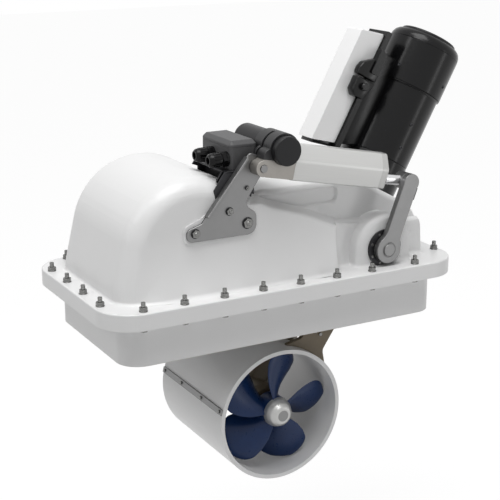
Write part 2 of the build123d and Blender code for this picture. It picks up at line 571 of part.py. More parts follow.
def gearcase_pieces():
    """The lower gearcase with its strut, and its rear cap."""
    back, front = GEARCASE_REAR, GEARCASE_FRONT
    case = bar_y(GEARCASE_RADIUS, front + 12, back)
    case += Pos(0, front + 12, 0) * Rot(90, 0, 0) * turned(
        [(0, 0), (GEARCASE_RADIUS, 0), (GEARCASE_RADIUS - 3, 8), (HUB_RADIUS, 12), (0, 12)])
    case += extrude(strut_outline(), TUNNEL_RADIUS)
    top = bar_y(TUNNEL_RADIUS, -200, 200)
    case &= top
    cavity = bar_y(GEARCASE_RADIUS - GEARCASE_WALL, -28, back + 1)
    case -= cavity
    case -= bar_y(PROP_SHAFT_RADIUS + SHAFT_SPACE, front - 1, back)
    case -= bar_z(PROP_SHAFT_RADIUS + 1.5 * SHAFT_SPACE, 0, TUNNEL_RADIUS + 1)
    case -= bar_z(PINION_SPACE, 0, GEARCASE_RADIUS + 3)
    dome_profile = [(0, 0), (GEARCASE_RADIUS, 0), (GEARCASE_RADIUS - 2, 12), (GEARCASE_RADIUS - 11, 23),
                    (PROP_SHAFT_RADIUS + SHAFT_SPACE, 28), (0, 28)]
    cap = Pos(0, back, 0) * Rot(-90, 0, 0) * turned(dome_profile)
    cap += bar_y(GEARCASE_RADIUS - GEARCASE_WALL - BOLTED_FIT, back - 6, back)
    cap -= bar_y(PROP_SHAFT_RADIUS + SHAFT_SPACE, back - 7, back + 8)
    return case, cap


def bevel_tooth(teeth, mate):
    """One straight bevel tooth on +X, with the shafts' crossing point as origin."""
    cone = atan2(teeth, mate)
    outer = GEAR_MODULE * hypot(teeth, mate) / 2
    virtual = GEAR_MODULE * teeth / 2 / cos(cone)
    base = virtual * cos(radians(20))
    low, high = virtual - 1.0 * GEAR_MODULE, virtual + 0.8 * GEAR_MODULE

    def half_angle(radius):
        def involute(r):
            turn = acos(min(1.0, base / r))
            return tan(turn) - turn
        thick = (pi * GEAR_MODULE / 2 - GEAR_BACKLASH) / (2 * virtual)
        return thick + involute(virtual) - involute(max(radius, base))

    radii = [low - 0.6, base if base > low else virtual - 0.5 * GEAR_MODULE, virtual, high]
    side = [(r * sin(half_angle(r)), r * cos(half_angle(r)) - virtual) for r in radii]
    loop = side + [(-x, y) for x, y in reversed(side)]

    def ring(scale):
        points = []
        for x, y in loop:
            points.append(Vector(outer * sin(cone) + y * cos(cone), x,
                                 outer * cos(cone) - y * sin(cone)) * scale)
        return Wire.make_polygon(points, close=True)

    return Solid.make_loft([ring(1.0), ring((outer - GEAR_FACE) / outer)], ruled=True)


def bevel_gear(teeth, mate, bore, hub_length):
    """A bevel gear about Z, with the shafts' crossing point as origin."""
    cone = atan2(teeth, mate)
    outer = GEAR_MODULE * hypot(teeth, mate) / 2
    depth = 0.95 * GEAR_MODULE
    big = (outer * sin(cone) - depth * cos(cone), outer * cos(cone) + depth * sin(cone))
    scale = (outer - GEAR_FACE) / outer
    small = (big[0] * scale, big[1] * scale)
    back = big[1] + hub_length
    body = turned([(bore, small[1]), small, big, (big[0] - 2, back), (bore, back)])
    tooth = bevel_tooth(teeth, mate)
    for i in range(teeth):
        body += Rot(0, 0, 360 / teeth * i) * tooth
    return body


def drive_line():
    """The leg's drive shaft with its ball-ended coupling, and the pinion."""
    outer = GEAR_MODULE * hypot(PINION_TEETH, CROWN_TEETH) / 2
    pinion = bevel_gear(PINION_TEETH, CROWN_TEETH, DRIVE_SHAFT_RADIUS + BOLTED_FIT, 8)
    start = (outer - GEAR_FACE) * CROWN_TEETH / hypot(PINION_TEETH, CROWN_TEETH) - 1
    shaft = bar_z(DRIVE_SHAFT_RADIUS, start, LEG_LENGTH - COUPLING_RADIUS / 2)
    ball = Pos(0, 0, LEG_LENGTH) * Sphere(COUPLING_RADIUS)
    ball += bar_z(COUPLING_RADIUS - 8, LEG_LENGTH - 42, LEG_LENGTH - 10)
    ball -= bar_z(DRIVE_SHAFT_RADIUS + BOLTED_FIT, 0, LEG_LENGTH - COUPLING_RADIUS / 2)
    return shaft, pinion, ball


def bearing(radius, bore, low, high):
    """A bearing as a plain ring."""
    return bar_z(radius, low, high) - bar_z(bore + RUNNING_FIT, low - 1, high + 1)


def leg_bearings():
    """Bearings of the drive shaft in the stem and of the propeller shaft."""
    rings = [bearing(STEM_BORE - BOLTED_FIT, DRIVE_SHAFT_RADIUS, low, low + BEARING_THICK)
             for low in (STEM_TOP - BEARING_THICK, STEM_FOOT_HEIGHT)]
    lie = Rot(90, 0, 0)
    bore = PROP_SHAFT_RADIUS + SHAFT_SPACE - BOLTED_FIT
    rings.append(Pos(0, FRONT_BEARING, 0) * lie * bearing(bore, PROP_SHAFT_RADIUS, 0, BEARING_THICK))
    rings.append(Pos(0, GEARCASE_REAR + 7, 0) * lie * bearing(bore, PROP_SHAFT_RADIUS, 0, 11))
    return rings


def shaft_seal():
    """The lip seal where the propeller shaft leaves the gearcase."""
    bore = PROP_SHAFT_RADIUS + SHAFT_SPACE - BOLTED_FIT
    return bar_y(bore, GEARCASE_FRONT, GEARCASE_FRONT + SEAL_WIDTH) - bar_y(
        PROP_SHAFT_RADIUS + RUNNING_FIT, GEARCASE_FRONT - 1, GEARCASE_FRONT + SEAL_WIDTH + 1)


def blade():
    """One blade on +Z: lens-shaped sections that twist along the radius."""
    sections = []
    for radius, chord, thick, skew in BLADE_SECTIONS:
        lie = atan2(PROP_PITCH, 2 * pi * radius)
        along = Vector(cos(lie), sin(lie), 0)
        out = Vector(-sin(lie), cos(lie), 0)
        middle = Vector(0, PROP_PLANE, radius) + along * skew
        ends = [middle + along * (side * chord / 2) for side in (-1, 1)]
        faces = [middle + out * (side * thick / 2) for side in (-1, 1)]
        sections.append(Wire([Edge.make_three_point_arc(ends[0], faces[0], ends[1]),
                              Edge.make_three_point_arc(ends[1], faces[1], ends[0])]))
    solid = Solid.make_loft(sections)
    return solid & bar_y(PROP_RADIUS, -200, 0)


def propeller():
    """The propeller's hub and blades."""
    hub = bar_y(HUB_RADIUS, HUB_FRONT, HUB_REAR)
    one = blade()
    for i in range(BLADES):
        hub += Rot(0, 360 / BLADES * i, 0) * one
    hub -= bar_y(PROP_SHAFT_RADIUS + BOLTED_FIT, HUB_FRONT - 1, HUB_REAR + 1)
    return hub


def nose_cone():
    """The propeller's nose, turned with a rounded shoulder and a flat front."""
    length = HUB_FRONT - NOSE_FRONT
    nose = Rot(90, 0, 0) * turned([(0, 0), (HUB_RADIUS, 0), (HUB_RADIUS - 1.5, length * 0.35),
                                   (HUB_RADIUS - 6, length * 0.7), (NOSE_FLAT + 3, length * 0.93),
                                   (NOSE_FLAT, length), (0, length)])
    nose = Pos(0, HUB_FRONT, 0) * nose
    return nose - bar_y(PROP_SHAFT_RADIUS + FREE_GAP, HUB_FRONT - PROP_SHAFT_TIP - 1, HUB_FRONT + 1)


def actuator_tube_outline(inset):
    """Section of the actuator's tube across the rod."""
    points = [(-TUBE_TOP_HALF, TUBE_ABOVE), (TUBE_TOP_HALF, TUBE_ABOVE), (TUBE_HALF, TUBE_RIDGE),
              (TUBE_BOTTOM_HALF, TUBE_BELOW), (-TUBE_BOTTOM_HALF, TUBE_BELOW), (-TUBE_HALF, TUBE_RIDGE)]
    outline = rounded(points, 4)
    return offset(outline, -inset) if inset else outline


def along_x(outline, start, end):
    """A section drawn in the YZ view, as a bar between two values of X."""
    return Pos(start, 0, 0) * extrude(Plane.YZ * outline, end - start)


def actuator_pieces():
    """The actuator's fixed side, drawn along its rod from the bracket pin."""
    tube = along_x(actuator_tube_outline(0), TUBE_START, TUBE_END)
    tube -= along_x(actuator_tube_outline(TUBE_WALL), TUBE_START - 1, TUBE_END + 1)
    cap = along_x(actuator_tube_outline(0), TUBE_END, CAP_END)
    cap -= bar_x(ROD_RADIUS + RUNNING_FIT, TUBE_END - 1, CAP_END + 1)
    flange = along_x(actuator_tube_outline(2), GEARBOX_END, TUBE_START)
    flange -= bar_x(ROD_RADIUS, GEARBOX_END + 4, TUBE_START + 1)
    outline = rounded([(GEARBOX_START, GEARBOX_BELOW), (GEARBOX_END, GEARBOX_BELOW),
                       (GEARBOX_END, DRIVE_ABOVE), (GEARBOX_START, DRIVE_ABOVE)], [12, 4, 14, 14])
    outline += Pos(DRIVE_ALONG, DRIVE_ABOVE) * Circle(DRIVE_RADIUS + 4)
    outline += Circle(-GEARBOX_BELOW)
    box = side_plate(outline, -GEARBOX_HALF, GEARBOX_HALF)
    box -= side_plate(Pos(FORK_DEPTH / 2 - 20, 0) * Rectangle(FORK_DEPTH + 40, 160),
                      -FORK_SLOT, FORK_SLOT)
    box -= bar_y(DRIVE_RADIUS + BOLTED_FIT, DRIVE_FRONT, DRIVE_REAR, DRIVE_ALONG, DRIVE_ABOVE)
    box -= side_plate(Pos(FORK_DEPTH - 60, 0) * Rectangle(120, 160) - Pos(DRIVE_ALONG, DRIVE_ABOVE)
                      * Circle(DRIVE_RADIUS + 4), FORK_REAR, GEARBOX_HALF + 1)
    box -= bar_y(PIN_RADIUS, -40, 40)
    front = bar_y(DRIVE_RADIUS, DRIVE_FRONT, DRIVE_GEAR, DRIVE_ALONG, DRIVE_ABOVE)
    front = fillet(front.edges().group_by(Axis.Y)[0], 3)
    gear = bar_y(DRIVE_RADIUS - 2, DRIVE_GEAR, DRIVE_CAN, DRIVE_ALONG, DRIVE_ABOVE)
    can = bar_y(DRIVE_RADIUS, DRIVE_CAN, DRIVE_REAR, DRIVE_ALONG, DRIVE_ABOVE)
    can = fillet(can.edges().group_by(Axis.Y)[-1], 5)
    return tube, cap, flange, box, front, gear, can


def rod_pieces():
    """The actuator's rod with its eye and pin."""
    rod = bar_x(ROD_RADIUS, TUBE_START + 22, ACTUATOR_LENGTH - EYE_RADIUS + 3)
    eye = bar_y(EYE_RADIUS, -EYE_HALF, EYE_HALF, ACTUATOR_LENGTH)
    rod -= bar_y(EYE_RADIUS, -EYE_HALF - 9, EYE_HALF + 9, ACTUATOR_LENGTH)
    eye -= bar_y(PIN_RADIUS, -30, 30, ACTUATOR_LENGTH)
    pin = bar_y(PIN_RADIUS, CRANK_THICK - CRANK_FACE - ACTUATOR_Y + 0.3, EYE_HALF + 2, ACTUATOR_LENGTH)
    return rod, eye, pin


def bracket_pieces():
    """The bracket plate with its folded edge, its screws and the actuator's pin."""
    front, back = -PLATE_FACE, PLATE_THICK - PLATE_FACE
    plate = side_plate(rounded(PLATE_OUTLINE, PLATE_ROUNDS), front, back)
    plate += side_plate(rounded(FOLD_OUTLINE, FOLD_ROUND), front - FOLD_HEIGHT, back)
    plate -= bar_y(PIN_RADIUS, front - 20, back + 20, BRACKET_X, BRACKET_Z)
    screws = []
    for x, z, radius in PLATE_SCREWS:
        head = bar_y(radius, front - PLATE_SCREW_HEAD, front, x, z)
        screws.append(chamfer(head.edges().group_by(Axis.Y)[0], 1.2))
    pin = bar_y(PIN_RADIUS - RUNNING_FIT, ACTUATOR_Y - GEARBOX_HALF - 2, ACTUATOR_Y + FORK_REAR,
                BRACKET_X, BRACKET_Z)
    return plate, screws, pin


def control_pieces(outer):
    """The control box on its tray and stays, with two cable glands."""
    length, width = CONTROL_RIGHT - CONTROL_LEFT, CONTROL_REAR - CONTROL_FRONT
    middle = Pos((CONTROL_LEFT + CONTROL_RIGHT) / 2, (CONTROL_FRONT + CONTROL_REAR) / 2, 0)
    split = CONTROL_TOP - CONTROL_LID
    wall = CONTROL_WALL
    body = middle * slab(length, width, CONTROL_CORNER, CONTROL_BOTTOM, split)
    body -= middle * slab(length - 2 * wall, width - 2 * wall, CONTROL_CORNER - wall,
                          CONTROL_BOTTOM + wall, split + 1)
    lid = middle * slab(length, width, CONTROL_CORNER, split, CONTROL_TOP)
    lid = chamfer(lid.edges().group_by(Axis.Z)[-1], CONTROL_CHAMFER)
    glands = []
    for side in (-1, 1):
        y = GLAND_Y + side * GLAND_PITCH / 2
        body -= bar_x(GLAND_RADIUS - 5, CONTROL_LEFT - 1, CONTROL_LEFT + wall + 1, y, GLAND_Z)
        nut = bar_x(GLAND_RADIUS, CONTROL_LEFT - GLAND_NUT, CONTROL_LEFT, y, GLAND_Z)
        dome_nut = bar_x(GLAND_RADIUS - 1.5, CONTROL_LEFT - GLAND_LENGTH, CONTROL_LEFT - GLAND_NUT,
                         y, GLAND_Z)
        dome_nut = fillet(dome_nut.edges().group_by(Axis.X)[0], 4)
        gland = nut + dome_nut - bar_x(GLAND_BORE, CONTROL_LEFT - GLAND_LENGTH - 1, CONTROL_LEFT + 1,
                                       y, GLAND_Z)
        glands.append(gland)
    under = CONTROL_BOTTOM - CONTROL_TRAY
    support = middle * slab(length, width, CONTROL_CORNER, under, CONTROL_BOTTOM)
    stay = rounded([(STAY_START, CONTROL_BOTTOM), *STAY_FOOT, (CONTROL_RIGHT, CONTROL_BOTTOM)],
                   [0, 3, 0, 0, 0])
    stays = side_plate(stay, CONTROL_FRONT, CONTROL_FRONT + CONTROL_TRAY)
    stays += side_plate(stay, CONTROL_REAR - CONTROL_TRAY, CONTROL_REAR)
    support += stays - outer
    return body, lid, glands, support


def motor_pieces():
    """The motor's fixed side, drawn up its axis from the swing axis."""
    seat, joint, top = MOTOR_SEAT, CAN_JOINT, CAN_TOP
    inner, web = CAN_RADIUS - CAN_WALL, MOTOR_BEARING_RADIUS
    mount = turned([(SEAT_HOLE + 8, seat), (CAN_RADIUS, seat), (CAN_RADIUS, MOUNT_TOP - 1),
                    (CAN_RADIUS - 1, MOUNT_TOP), (web, MOUNT_TOP), (web, MOUNT_TOP - BEARING_THICK - 2),
                    (inner, MOUNT_TOP - BEARING_THICK - 2), (inner, seat + 14), (SEAT_HOLE + 8, seat + 14)])
    can = turned([(inner, MOUNT_TOP), (CAN_RADIUS - 1, MOUNT_TOP), (CAN_RADIUS, MOUNT_TOP + 1),
                  (CAN_RADIUS, joint - 4), (UPPER_CAN_RADIUS, joint - 1), (UPPER_CAN_RADIUS - 1, joint),
                  (inner, joint)])
    upper_inner = UPPER_CAN_RADIUS - CAN_WALL
    upper = turned([(upper_inner, joint), (UPPER_CAN_RADIUS - 1, joint), (UPPER_CAN_RADIUS, joint + 1),
                    (UPPER_CAN_RADIUS, top), (upper_inner, top)])
    rise = LID_BOTTOM - top
    rim = [(UPPER_CAN_RADIUS - (UPPER_CAN_RADIUS - LID_RADIUS - 2) * (1 - cos(radians(a))),
            top + rise * sin(radians(a))) for a in (0, 22, 45, 68, 90)]
    cap = turned([(web, top - BEARING_THICK), (upper_inner - BOLTED_FIT, top - BEARING_THICK),
                  (upper_inner - BOLTED_FIT, top), *rim, (0, LID_BOTTOM), (0, top + 4), (web, top + 4)])
    lid = turned([(0, LID_BOTTOM), (LID_RADIUS, LID_BOTTOM), (LID_RADIUS, MOTOR_TOP - 2),
                  (LID_RADIUS - 2, MOTOR_TOP), (0, MOTOR_TOP)])
    magnets = bar_z(inner - BOLTED_FIT, ARMATURE_START + 5, ARMATURE_END - 5) - bar_z(
        inner - MAGNET_THICK, 0, MOTOR_TOP)
    bearings = [bearing(web - BOLTED_FIT, MOTOR_SHAFT_RADIUS, MOUNT_TOP - BEARING_THICK, MOUNT_TOP),
                bearing(web - BOLTED_FIT, MOTOR_SHAFT_RADIUS, top - BEARING_THICK, top)]
    return mount, can, upper, cap, lid, magnets, bearings


def rotor_pieces():
    """The motor's shaft, its armature and the cup half of the coupling."""
    shaft = bar_z(MOTOR_SHAFT_RADIUS, COUPLING_RADIUS + COUPLING_WALL, CAN_TOP + 2)
    armature = bar_z(ARMATURE_RADIUS, ARMATURE_START, ARMATURE_END)
    armature += bar_z(28, ARMATURE_END, ARMATURE_END + 40)
    armature -= bar_z(MOTOR_SHAFT_RADIUS + BOLTED_FIT, 0, MOTOR_TOP)
    outer = COUPLING_RADIUS + COUPLING_WALL
    cup = bar_z(outer, 8, outer + 6) + bar_z(MOTOR_SHAFT_RADIUS + 6, outer + 6, outer + 24)
    cup -= Sphere(COUPLING_RADIUS + FREE_GAP)
    cup -= bar_z(MOTOR_SHAFT_RADIUS + BOLTED_FIT, outer, outer + 30)
    return shaft, armature, cup


def controller_pieces():
    """The motor controller: its cover, its base plate and the brackets to the motor."""
    lean = COVER_LEAN
    outline = rounded([(-COVER_NEAR, COVER_BOTTOM), (-COVER_NEAR, COVER_TOP),
                       (-COVER_FAR, COVER_TOP - lean), (-COVER_FAR, COVER_BOTTOM - lean)], [1, 4, 4, 1])
    cover = side_plate(outline, -COVER_HALF, COVER_HALF)
    low, high = COVER_BOTTOM - BASE_BELOW, COVER_TOP + BASE_ABOVE
    plate = side_plate(rounded([(-BASE_NEAR, low), (-BASE_NEAR, high), (-COVER_NEAR, high),
                                (-COVER_NEAR, low)], 2), -BASE_HALF, BASE_HALF)
    reach = COVER_NEAR + LUG_OVERLAP
    lug = side_plate(rounded([(-BASE_NEAR, LUG_BOTTOM), (-BASE_NEAR, LUG_SHOULDER),
                              (-reach, LUG_TOP), (-reach, LUG_BOTTOM)], 3),
                     -BASE_HALF - LUG_WIDTH, -BASE_HALF)
    arms = []
    for height, radius in ((LOW_ARM, CAN_RADIUS), (HIGH_ARM, UPPER_CAN_RADIUS)):
        arm = Pos(ARM_LENGTH / 2 - BASE_NEAR, 0, height) * Box(ARM_LENGTH, ARM_WIDTH, ARM_HEIGHT)
        arms.append(arm - bar_z(radius, 0, MOTOR_TOP))
    return cover, plate + lug, arms


def main():
    outer = dome(0)
    save("housing_shell", housing_shell(outer))
    save("hull_base", hull_base())
    save("flange_gasket", gasket())
    flange_fasteners()
    swing_bearings()
    save("swing_shafts", *swing_shafts())
    crank, cap, flag = crank_pieces()
    save("crank_arm", crank)
    save("crank_cap", cap)
    save("crank_flag", flag)
    cheeks, stem, frame, screws = leg_pieces()
    save("leg_cheeks", *[LEG * piece for piece in cheeks])
    save("leg_stem", LEG * stem)
    save("leg_bridges", *[LEG * piece for piece in frame])
    ring, strip, strip_screws = tunnel_pieces()
    save("tunnel_ring", LEG * ring)
    save("tunnel_strip", LEG * strip)
    save("leg_screws", *[LEG * piece for piece in screws + strip_screws])
    case, case_cap = gearcase_pieces()
    save("gearcase", LEG * case)
    save("gearcase_cap", LEG * case_cap)
    shaft, pinion, ball = drive_line()
    save("drive_shaft", LEG * shaft)
    save("pinion_gear", LEG * pinion)
    save("coupling_ball", LEG * ball)
    save("leg_bearings", *[LEG * piece for piece in leg_bearings()])
    save("shaft_seal", LEG * shaft_seal())
    save("propeller", PROP * propeller())
    save("nose_cone", PROP * nose_cone())
    save("propeller_shaft", PROP * bar_y(PROP_SHAFT_RADIUS, HUB_FRONT - PROP_SHAFT_TIP, GEARCASE_REAR + 6))
    crown = bevel_gear(CROWN_TEETH, PINION_TEETH, PROP_SHAFT_RADIUS + BOLTED_FIT, 6)
    save("crown_gear", LEG * (Rot(-90, 0, 0) * crown))
    tube, end_cap, flange, box, front, gear, can = actuator_pieces()
    save("actuator_tube", ACTUATOR * tube)
    save("actuator_end_cap", ACTUATOR * end_cap)
    save("actuator_flange", ACTUATOR * flange)
    save("actuator_gearbox", ACTUATOR * box)
    save("actuator_motor_front", ACTUATOR * front)
    save("actuator_motor_gear", ACTUATOR * gear)
    save("actuator_motor_can", ACTUATOR * can)
    rod, eye, pin = rod_pieces()
    save("actuator_rod", ACTUATOR * rod)
    save("rod_eye", ACTUATOR * eye)
    save("rod_pin", ACTUATOR * pin)
    plate, plate_screws, bracket_pin = bracket_pieces()
    save("actuator_bracket", plate)
    save("bracket_screws", *plate_screws)
    save("bracket_pin", bracket_pin)
    body, lid, glands, support = control_pieces(outer)
    save("control_box", body)
    save("control_box_lid", lid)
    save("cable_glands", *glands)
    save("control_box_support", support)
    mount, can, upper, cap, lid, magnets, bearings = motor_pieces()
    save("motor_mount", MOTOR * mount)
    save("motor_can", MOTOR * can)
    save("motor_upper_can", MOTOR * upper)
    save("motor_end_cap", MOTOR * cap)
    save("motor_lid", MOTOR * lid)
    save("motor_magnets", MOTOR * magnets)
    save("motor_bearings", *[MOTOR * piece for piece in bearings])
    shaft, armature, cup = rotor_pieces()
    save("motor_shaft", MOTOR * shaft)
    save("motor_armature", MOTOR * armature)
    save("coupling_cup", MOTOR * cup)
    cover, base, arms = controller_pieces()
    save("controller_cover", MOTOR * cover)
    save("controller_base", MOTOR * base)
    save("controller_brackets", *[MOTOR * arm for arm in arms])


main()
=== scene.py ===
import json
from math import atan2, cos, pi, radians, sin

import bmesh
import bpy
from mathutils import Matrix, Vector


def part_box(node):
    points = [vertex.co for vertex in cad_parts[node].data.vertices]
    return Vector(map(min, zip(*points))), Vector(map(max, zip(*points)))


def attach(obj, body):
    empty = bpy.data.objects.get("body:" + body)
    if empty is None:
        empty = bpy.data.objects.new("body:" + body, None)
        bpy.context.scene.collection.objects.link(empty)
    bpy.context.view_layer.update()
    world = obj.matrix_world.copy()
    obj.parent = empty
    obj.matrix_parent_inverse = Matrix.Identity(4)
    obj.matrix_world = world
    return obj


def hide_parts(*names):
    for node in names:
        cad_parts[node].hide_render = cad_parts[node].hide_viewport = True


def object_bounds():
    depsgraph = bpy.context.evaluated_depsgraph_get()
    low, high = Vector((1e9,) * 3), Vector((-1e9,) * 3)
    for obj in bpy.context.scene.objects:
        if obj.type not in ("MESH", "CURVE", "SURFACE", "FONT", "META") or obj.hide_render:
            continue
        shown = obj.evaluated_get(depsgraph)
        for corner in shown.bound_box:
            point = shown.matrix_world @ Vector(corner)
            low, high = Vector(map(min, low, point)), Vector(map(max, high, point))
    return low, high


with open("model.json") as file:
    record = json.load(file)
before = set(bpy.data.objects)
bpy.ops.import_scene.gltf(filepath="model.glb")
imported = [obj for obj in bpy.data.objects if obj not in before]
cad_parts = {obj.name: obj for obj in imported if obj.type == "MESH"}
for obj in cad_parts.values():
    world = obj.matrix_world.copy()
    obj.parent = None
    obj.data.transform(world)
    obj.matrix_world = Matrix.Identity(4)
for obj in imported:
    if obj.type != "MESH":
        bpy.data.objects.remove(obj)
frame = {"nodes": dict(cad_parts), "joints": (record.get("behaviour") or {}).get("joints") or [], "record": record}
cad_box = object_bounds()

# The upper housing is a thick glass-fibre moulding in white gelcoat: a dome with a hollow
# along its front, two bearing pods and a flange with a lip that hangs over the lower part.
# The gelcoat came out of a polished mould, so it is smooth, with a very slow waviness.


class Amount:
    """A number that changes over a surface. Arithmetic on it adds Math nodes."""

    def __init__(self, finish, socket):
        self.finish, self.socket = finish, socket

    def maths(self, operation, *values):
        return self.finish.node("ShaderNodeMath", {"operation": operation}, dict(enumerate(values)))

    def __add__(self, other):
        return self.maths("ADD", self, other)

    def __sub__(self, other):
        return self.maths("SUBTRACT", self, other)

    def __rsub__(self, other):
        return self.maths("SUBTRACT", other, self)

    def __mul__(self, other):
        return self.maths("MULTIPLY", self, other)

    def __gt__(self, other):
        return self.maths("GREATER_THAN", self, other)

    def __lt__(self, other):
        return self.maths("LESS_THAN", self, other)

    __radd__, __rmul__ = __add__, __mul__


class Finish:
    """A surface finish in object coordinates, in metres, with a plain colour and roughness."""

    def __init__(self, name, colour, roughness, **fixed):
        self.material = bpy.data.materials.new(name)
        self.material.use_nodes = True
        self.tree = self.material.node_tree
        self.surface = self.tree.nodes["Principled BSDF"]
        self.colour = colour
        self.surface.inputs["Base Color"].default_value = (*colour, 1)
        self.surface.inputs["Roughness"].default_value = roughness
        for socket, value in fixed.items():
            self.surface.inputs[socket.replace("_", " ")].default_value = value
        self.place = self.node("ShaderNodeTexCoord", {}, {}, "Object")

    def node(self, kind, settings, sockets, out=0):
        """One node of a kind, its settings first, then the values or links of its sockets."""
        node = self.tree.nodes.new(kind)
        for key, value in settings.items():
            setattr(node, key, value)
        for key, value in sockets.items():
            if isinstance(value, Amount):
                self.tree.links.new(value.socket, node.inputs[key])
            else:
                node.inputs[key].default_value = value
        return Amount(self, node.outputs[out])

    def drive(self, socket, amount):
        """A socket of the surface follows an amount."""
        self.tree.links.new(amount.socket, self.surface.inputs[socket])

    def laid(self, at=(0, 0, 0), turn=(0, 0, 0), stretch=(1, 1, 1)):
        """Object coordinates moved, turned and stretched for a pattern."""
        return self.node("ShaderNodeMapping", {"vector_type": "TEXTURE"},
                         {"Vector": self.place, "Location": at, "Rotation": turn, "Scale": stretch})

    def mottle(self, size, detail=3.0, **lie):
        """Cloudy pattern from 0 to 1, whose patches are about size metres across."""
        return self.node("ShaderNodeTexNoise", {}, {"Vector": self.laid(**lie), "Scale": 1 / size,
                                                    "Detail": detail, "Roughness": 0.55}, "Fac")

    def between(self, amount, first, second):
        """A colour that goes from first to second as the amount goes from 0 to 1."""
        ends = {6: first, 7: second}
        for key, value in ends.items():
            if not isinstance(value, Amount):
                ends[key] = (*value, 1)
        return self.node("ShaderNodeMix", {"data_type": "RGBA"}, {0: amount, **ends}, 2)

    def shades(self, amount, spread):
        """The finish's own colour, from darker to lighter by spread as the amount goes 0 to 1."""
        dark = tuple(c * (1 - spread) for c in self.colour)
        light = tuple(min(1, c * (1 + spread)) for c in self.colour)
        return self.between(amount, dark, light)

    def relief(self, height, depth):
        """Bump of an amount from 0 to 1, depth metres high."""
        bump = self.node("ShaderNodeBump", {}, {"Height": height, "Distance": depth, "Strength": 1.0})
        self.drive("Normal", bump)


node_bodies = {node: body for body, nodes in frame["record"]["behaviour"]["bodies"].items()
               for node in nodes}


def settle(piece, finish, body, *stands_for):
    """A finished piece gets its finish, rides its body and may stand for CAD nodes."""
    piece.data.materials.clear()
    piece.data.materials.append(finish.material)
    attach(piece, body)
    if stands_for:
        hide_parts(*stands_for)
    return piece


def welded(node):
    """The mesh of a CAD node with its loose triangles joined, ready to be worked."""
    work = bmesh.new()
    work.from_mesh(frame["nodes"][node].data)
    bmesh.ops.remove_doubles(work, verts=work.verts, dist=2e-6)
    return work


def skin(node, finish, edge=0.0, crease=30):
    """A welded copy of a CAD node with smooth curves and softened edges, in its place."""
    mesh = frame["nodes"][node].data.copy()
    work = welded(node)
    if edge:
        level = radians(0.2)
        bmesh.ops.dissolve_limit(work, angle_limit=level, verts=work.verts, edges=work.edges)
    work.to_mesh(mesh)
    work.free()
    mesh.shade_smooth()
    mesh.set_sharp_from_angle(angle=radians(crease))
    piece = bpy.data.objects.new(node + "_skin", mesh)
    bpy.context.scene.collection.objects.link(piece)
    if edge:
        soften(piece, edge, crease)
    even = piece.modifiers.new("even", "WEIGHTED_NORMAL")
    even.mode, even.weight, even.keep_sharp = "FACE_AREA", 80, True
    return settle(piece, finish, node_bodies[node], node)


def soften(piece, edge, crease=30):
    """Small round edges, as a tumbled or moulded piece has."""
    bevel = piece.modifiers.new("edges", "BEVEL")
    bevel.width, bevel.segments = edge, 2
    bevel.limit_method, bevel.angle_limit = "ANGLE", radians(crease)
    bevel.harden_normals = True


gelcoat = Finish("white_gelcoat", (0.80, 0.80, 0.80), 0.34)
gelcoat.drive("Base Color", gelcoat.shades(gelcoat.mottle(0.09), 0.012))
gelcoat.drive("Roughness", 0.30 + gelcoat.mottle(0.03, 4.0) * 0.09)
gelcoat.relief(gelcoat.mottle(0.06, 1.0) + gelcoat.mottle(0.0012, 2.0) * 0.03, 0.00025)
shell = skin("housing_shell", gelcoat, crease=24)

# Two side views of the dome's left half, as corners of X and Z and the radius of each round:
# flat on top as the solid is, and arched as the moulding is. To their right the roof is level.
roof_height = 0.165
flat_top = [(-0.338, 0.0), (-0.331, 0.125), (-0.250, 0.217), (-0.144, 0.217), (-0.030, roof_height)]
flat_rounds = (0.060, 0.090, 0.120)
arched = [(-0.342, 0.0), (-0.275, 0.282), (-0.055, roof_height)]
arched_rounds = (0.141,)
dome_centre = Vector((-0.187, 0.077))
flare_height, flare_reach, foot_line = 0.12, 0.022, -0.152
slices, level_step, upright_start, upright_step = 22, 0.010, -0.35, 0.022


def smooth_step(value, low, high):
    """0 below low, 1 above high and smooth between."""
    share = min(1.0, max(0.0, (value - low) / (high - low)))
    return share * share * (3 - 2 * share)


def outline_reach(corners, rounds, angle):
    """How far a rounded side view reaches from the dome's centre at an angle."""
    way = Vector((cos(angle), sin(angle)))
    unbounded = 10.0
    reach = unbounded
    for i in range(len(corners) - 1):
        start, end = Vector(corners[i]) - dome_centre, Vector(corners[i + 1]) - dome_centre
        run = end - start
        out = Vector((-run.y, run.x)).normalized()
        if out.dot(start) < 0:
            out = -out
        if out.dot(way) > 1e-4:
            reach = min(reach, out.dot(start) / out.dot(way))
    for (before, corner, after), radius in zip(zip(corners, corners[1:], corners[2:]), rounds):
        corner = Vector(corner)
        one, two = (Vector(before) - corner).normalized(), (Vector(after) - corner).normalized()
        half = one.angle(two) / 2
        hub = corner + (one + two).normalized() * (radius / sin(half)) - dome_centre
        along = hub.dot(way)
        across = hub.length_squared - along * along
        if across < radius * radius:
            arc = along + (radius * radius - across) ** 0.5
            if abs((way * arc - hub).angle(corner - dome_centre - hub)) < pi / 2 - half:
                reach = min(reach, arc)
    if 0.1 < angle < 1.3:
        reach = max(reach, (roof_height - dome_centre.y) / sin(angle))
    return reach


def slice_front(work, place, way):
    """A cut through all faces but those at the back, to give them points to bend at."""
    near = [f for f in work.faces if f.calc_center_median().y < 0.16]
    edges = dict.fromkeys(e for f in near for e in f.edges)
    verts = dict.fromkeys(v for f in near for v in f.verts)
    bmesh.ops.bisect_plane(work, geom=[*near, *edges, *verts], dist=1e-5, plane_co=place, plane_no=way)


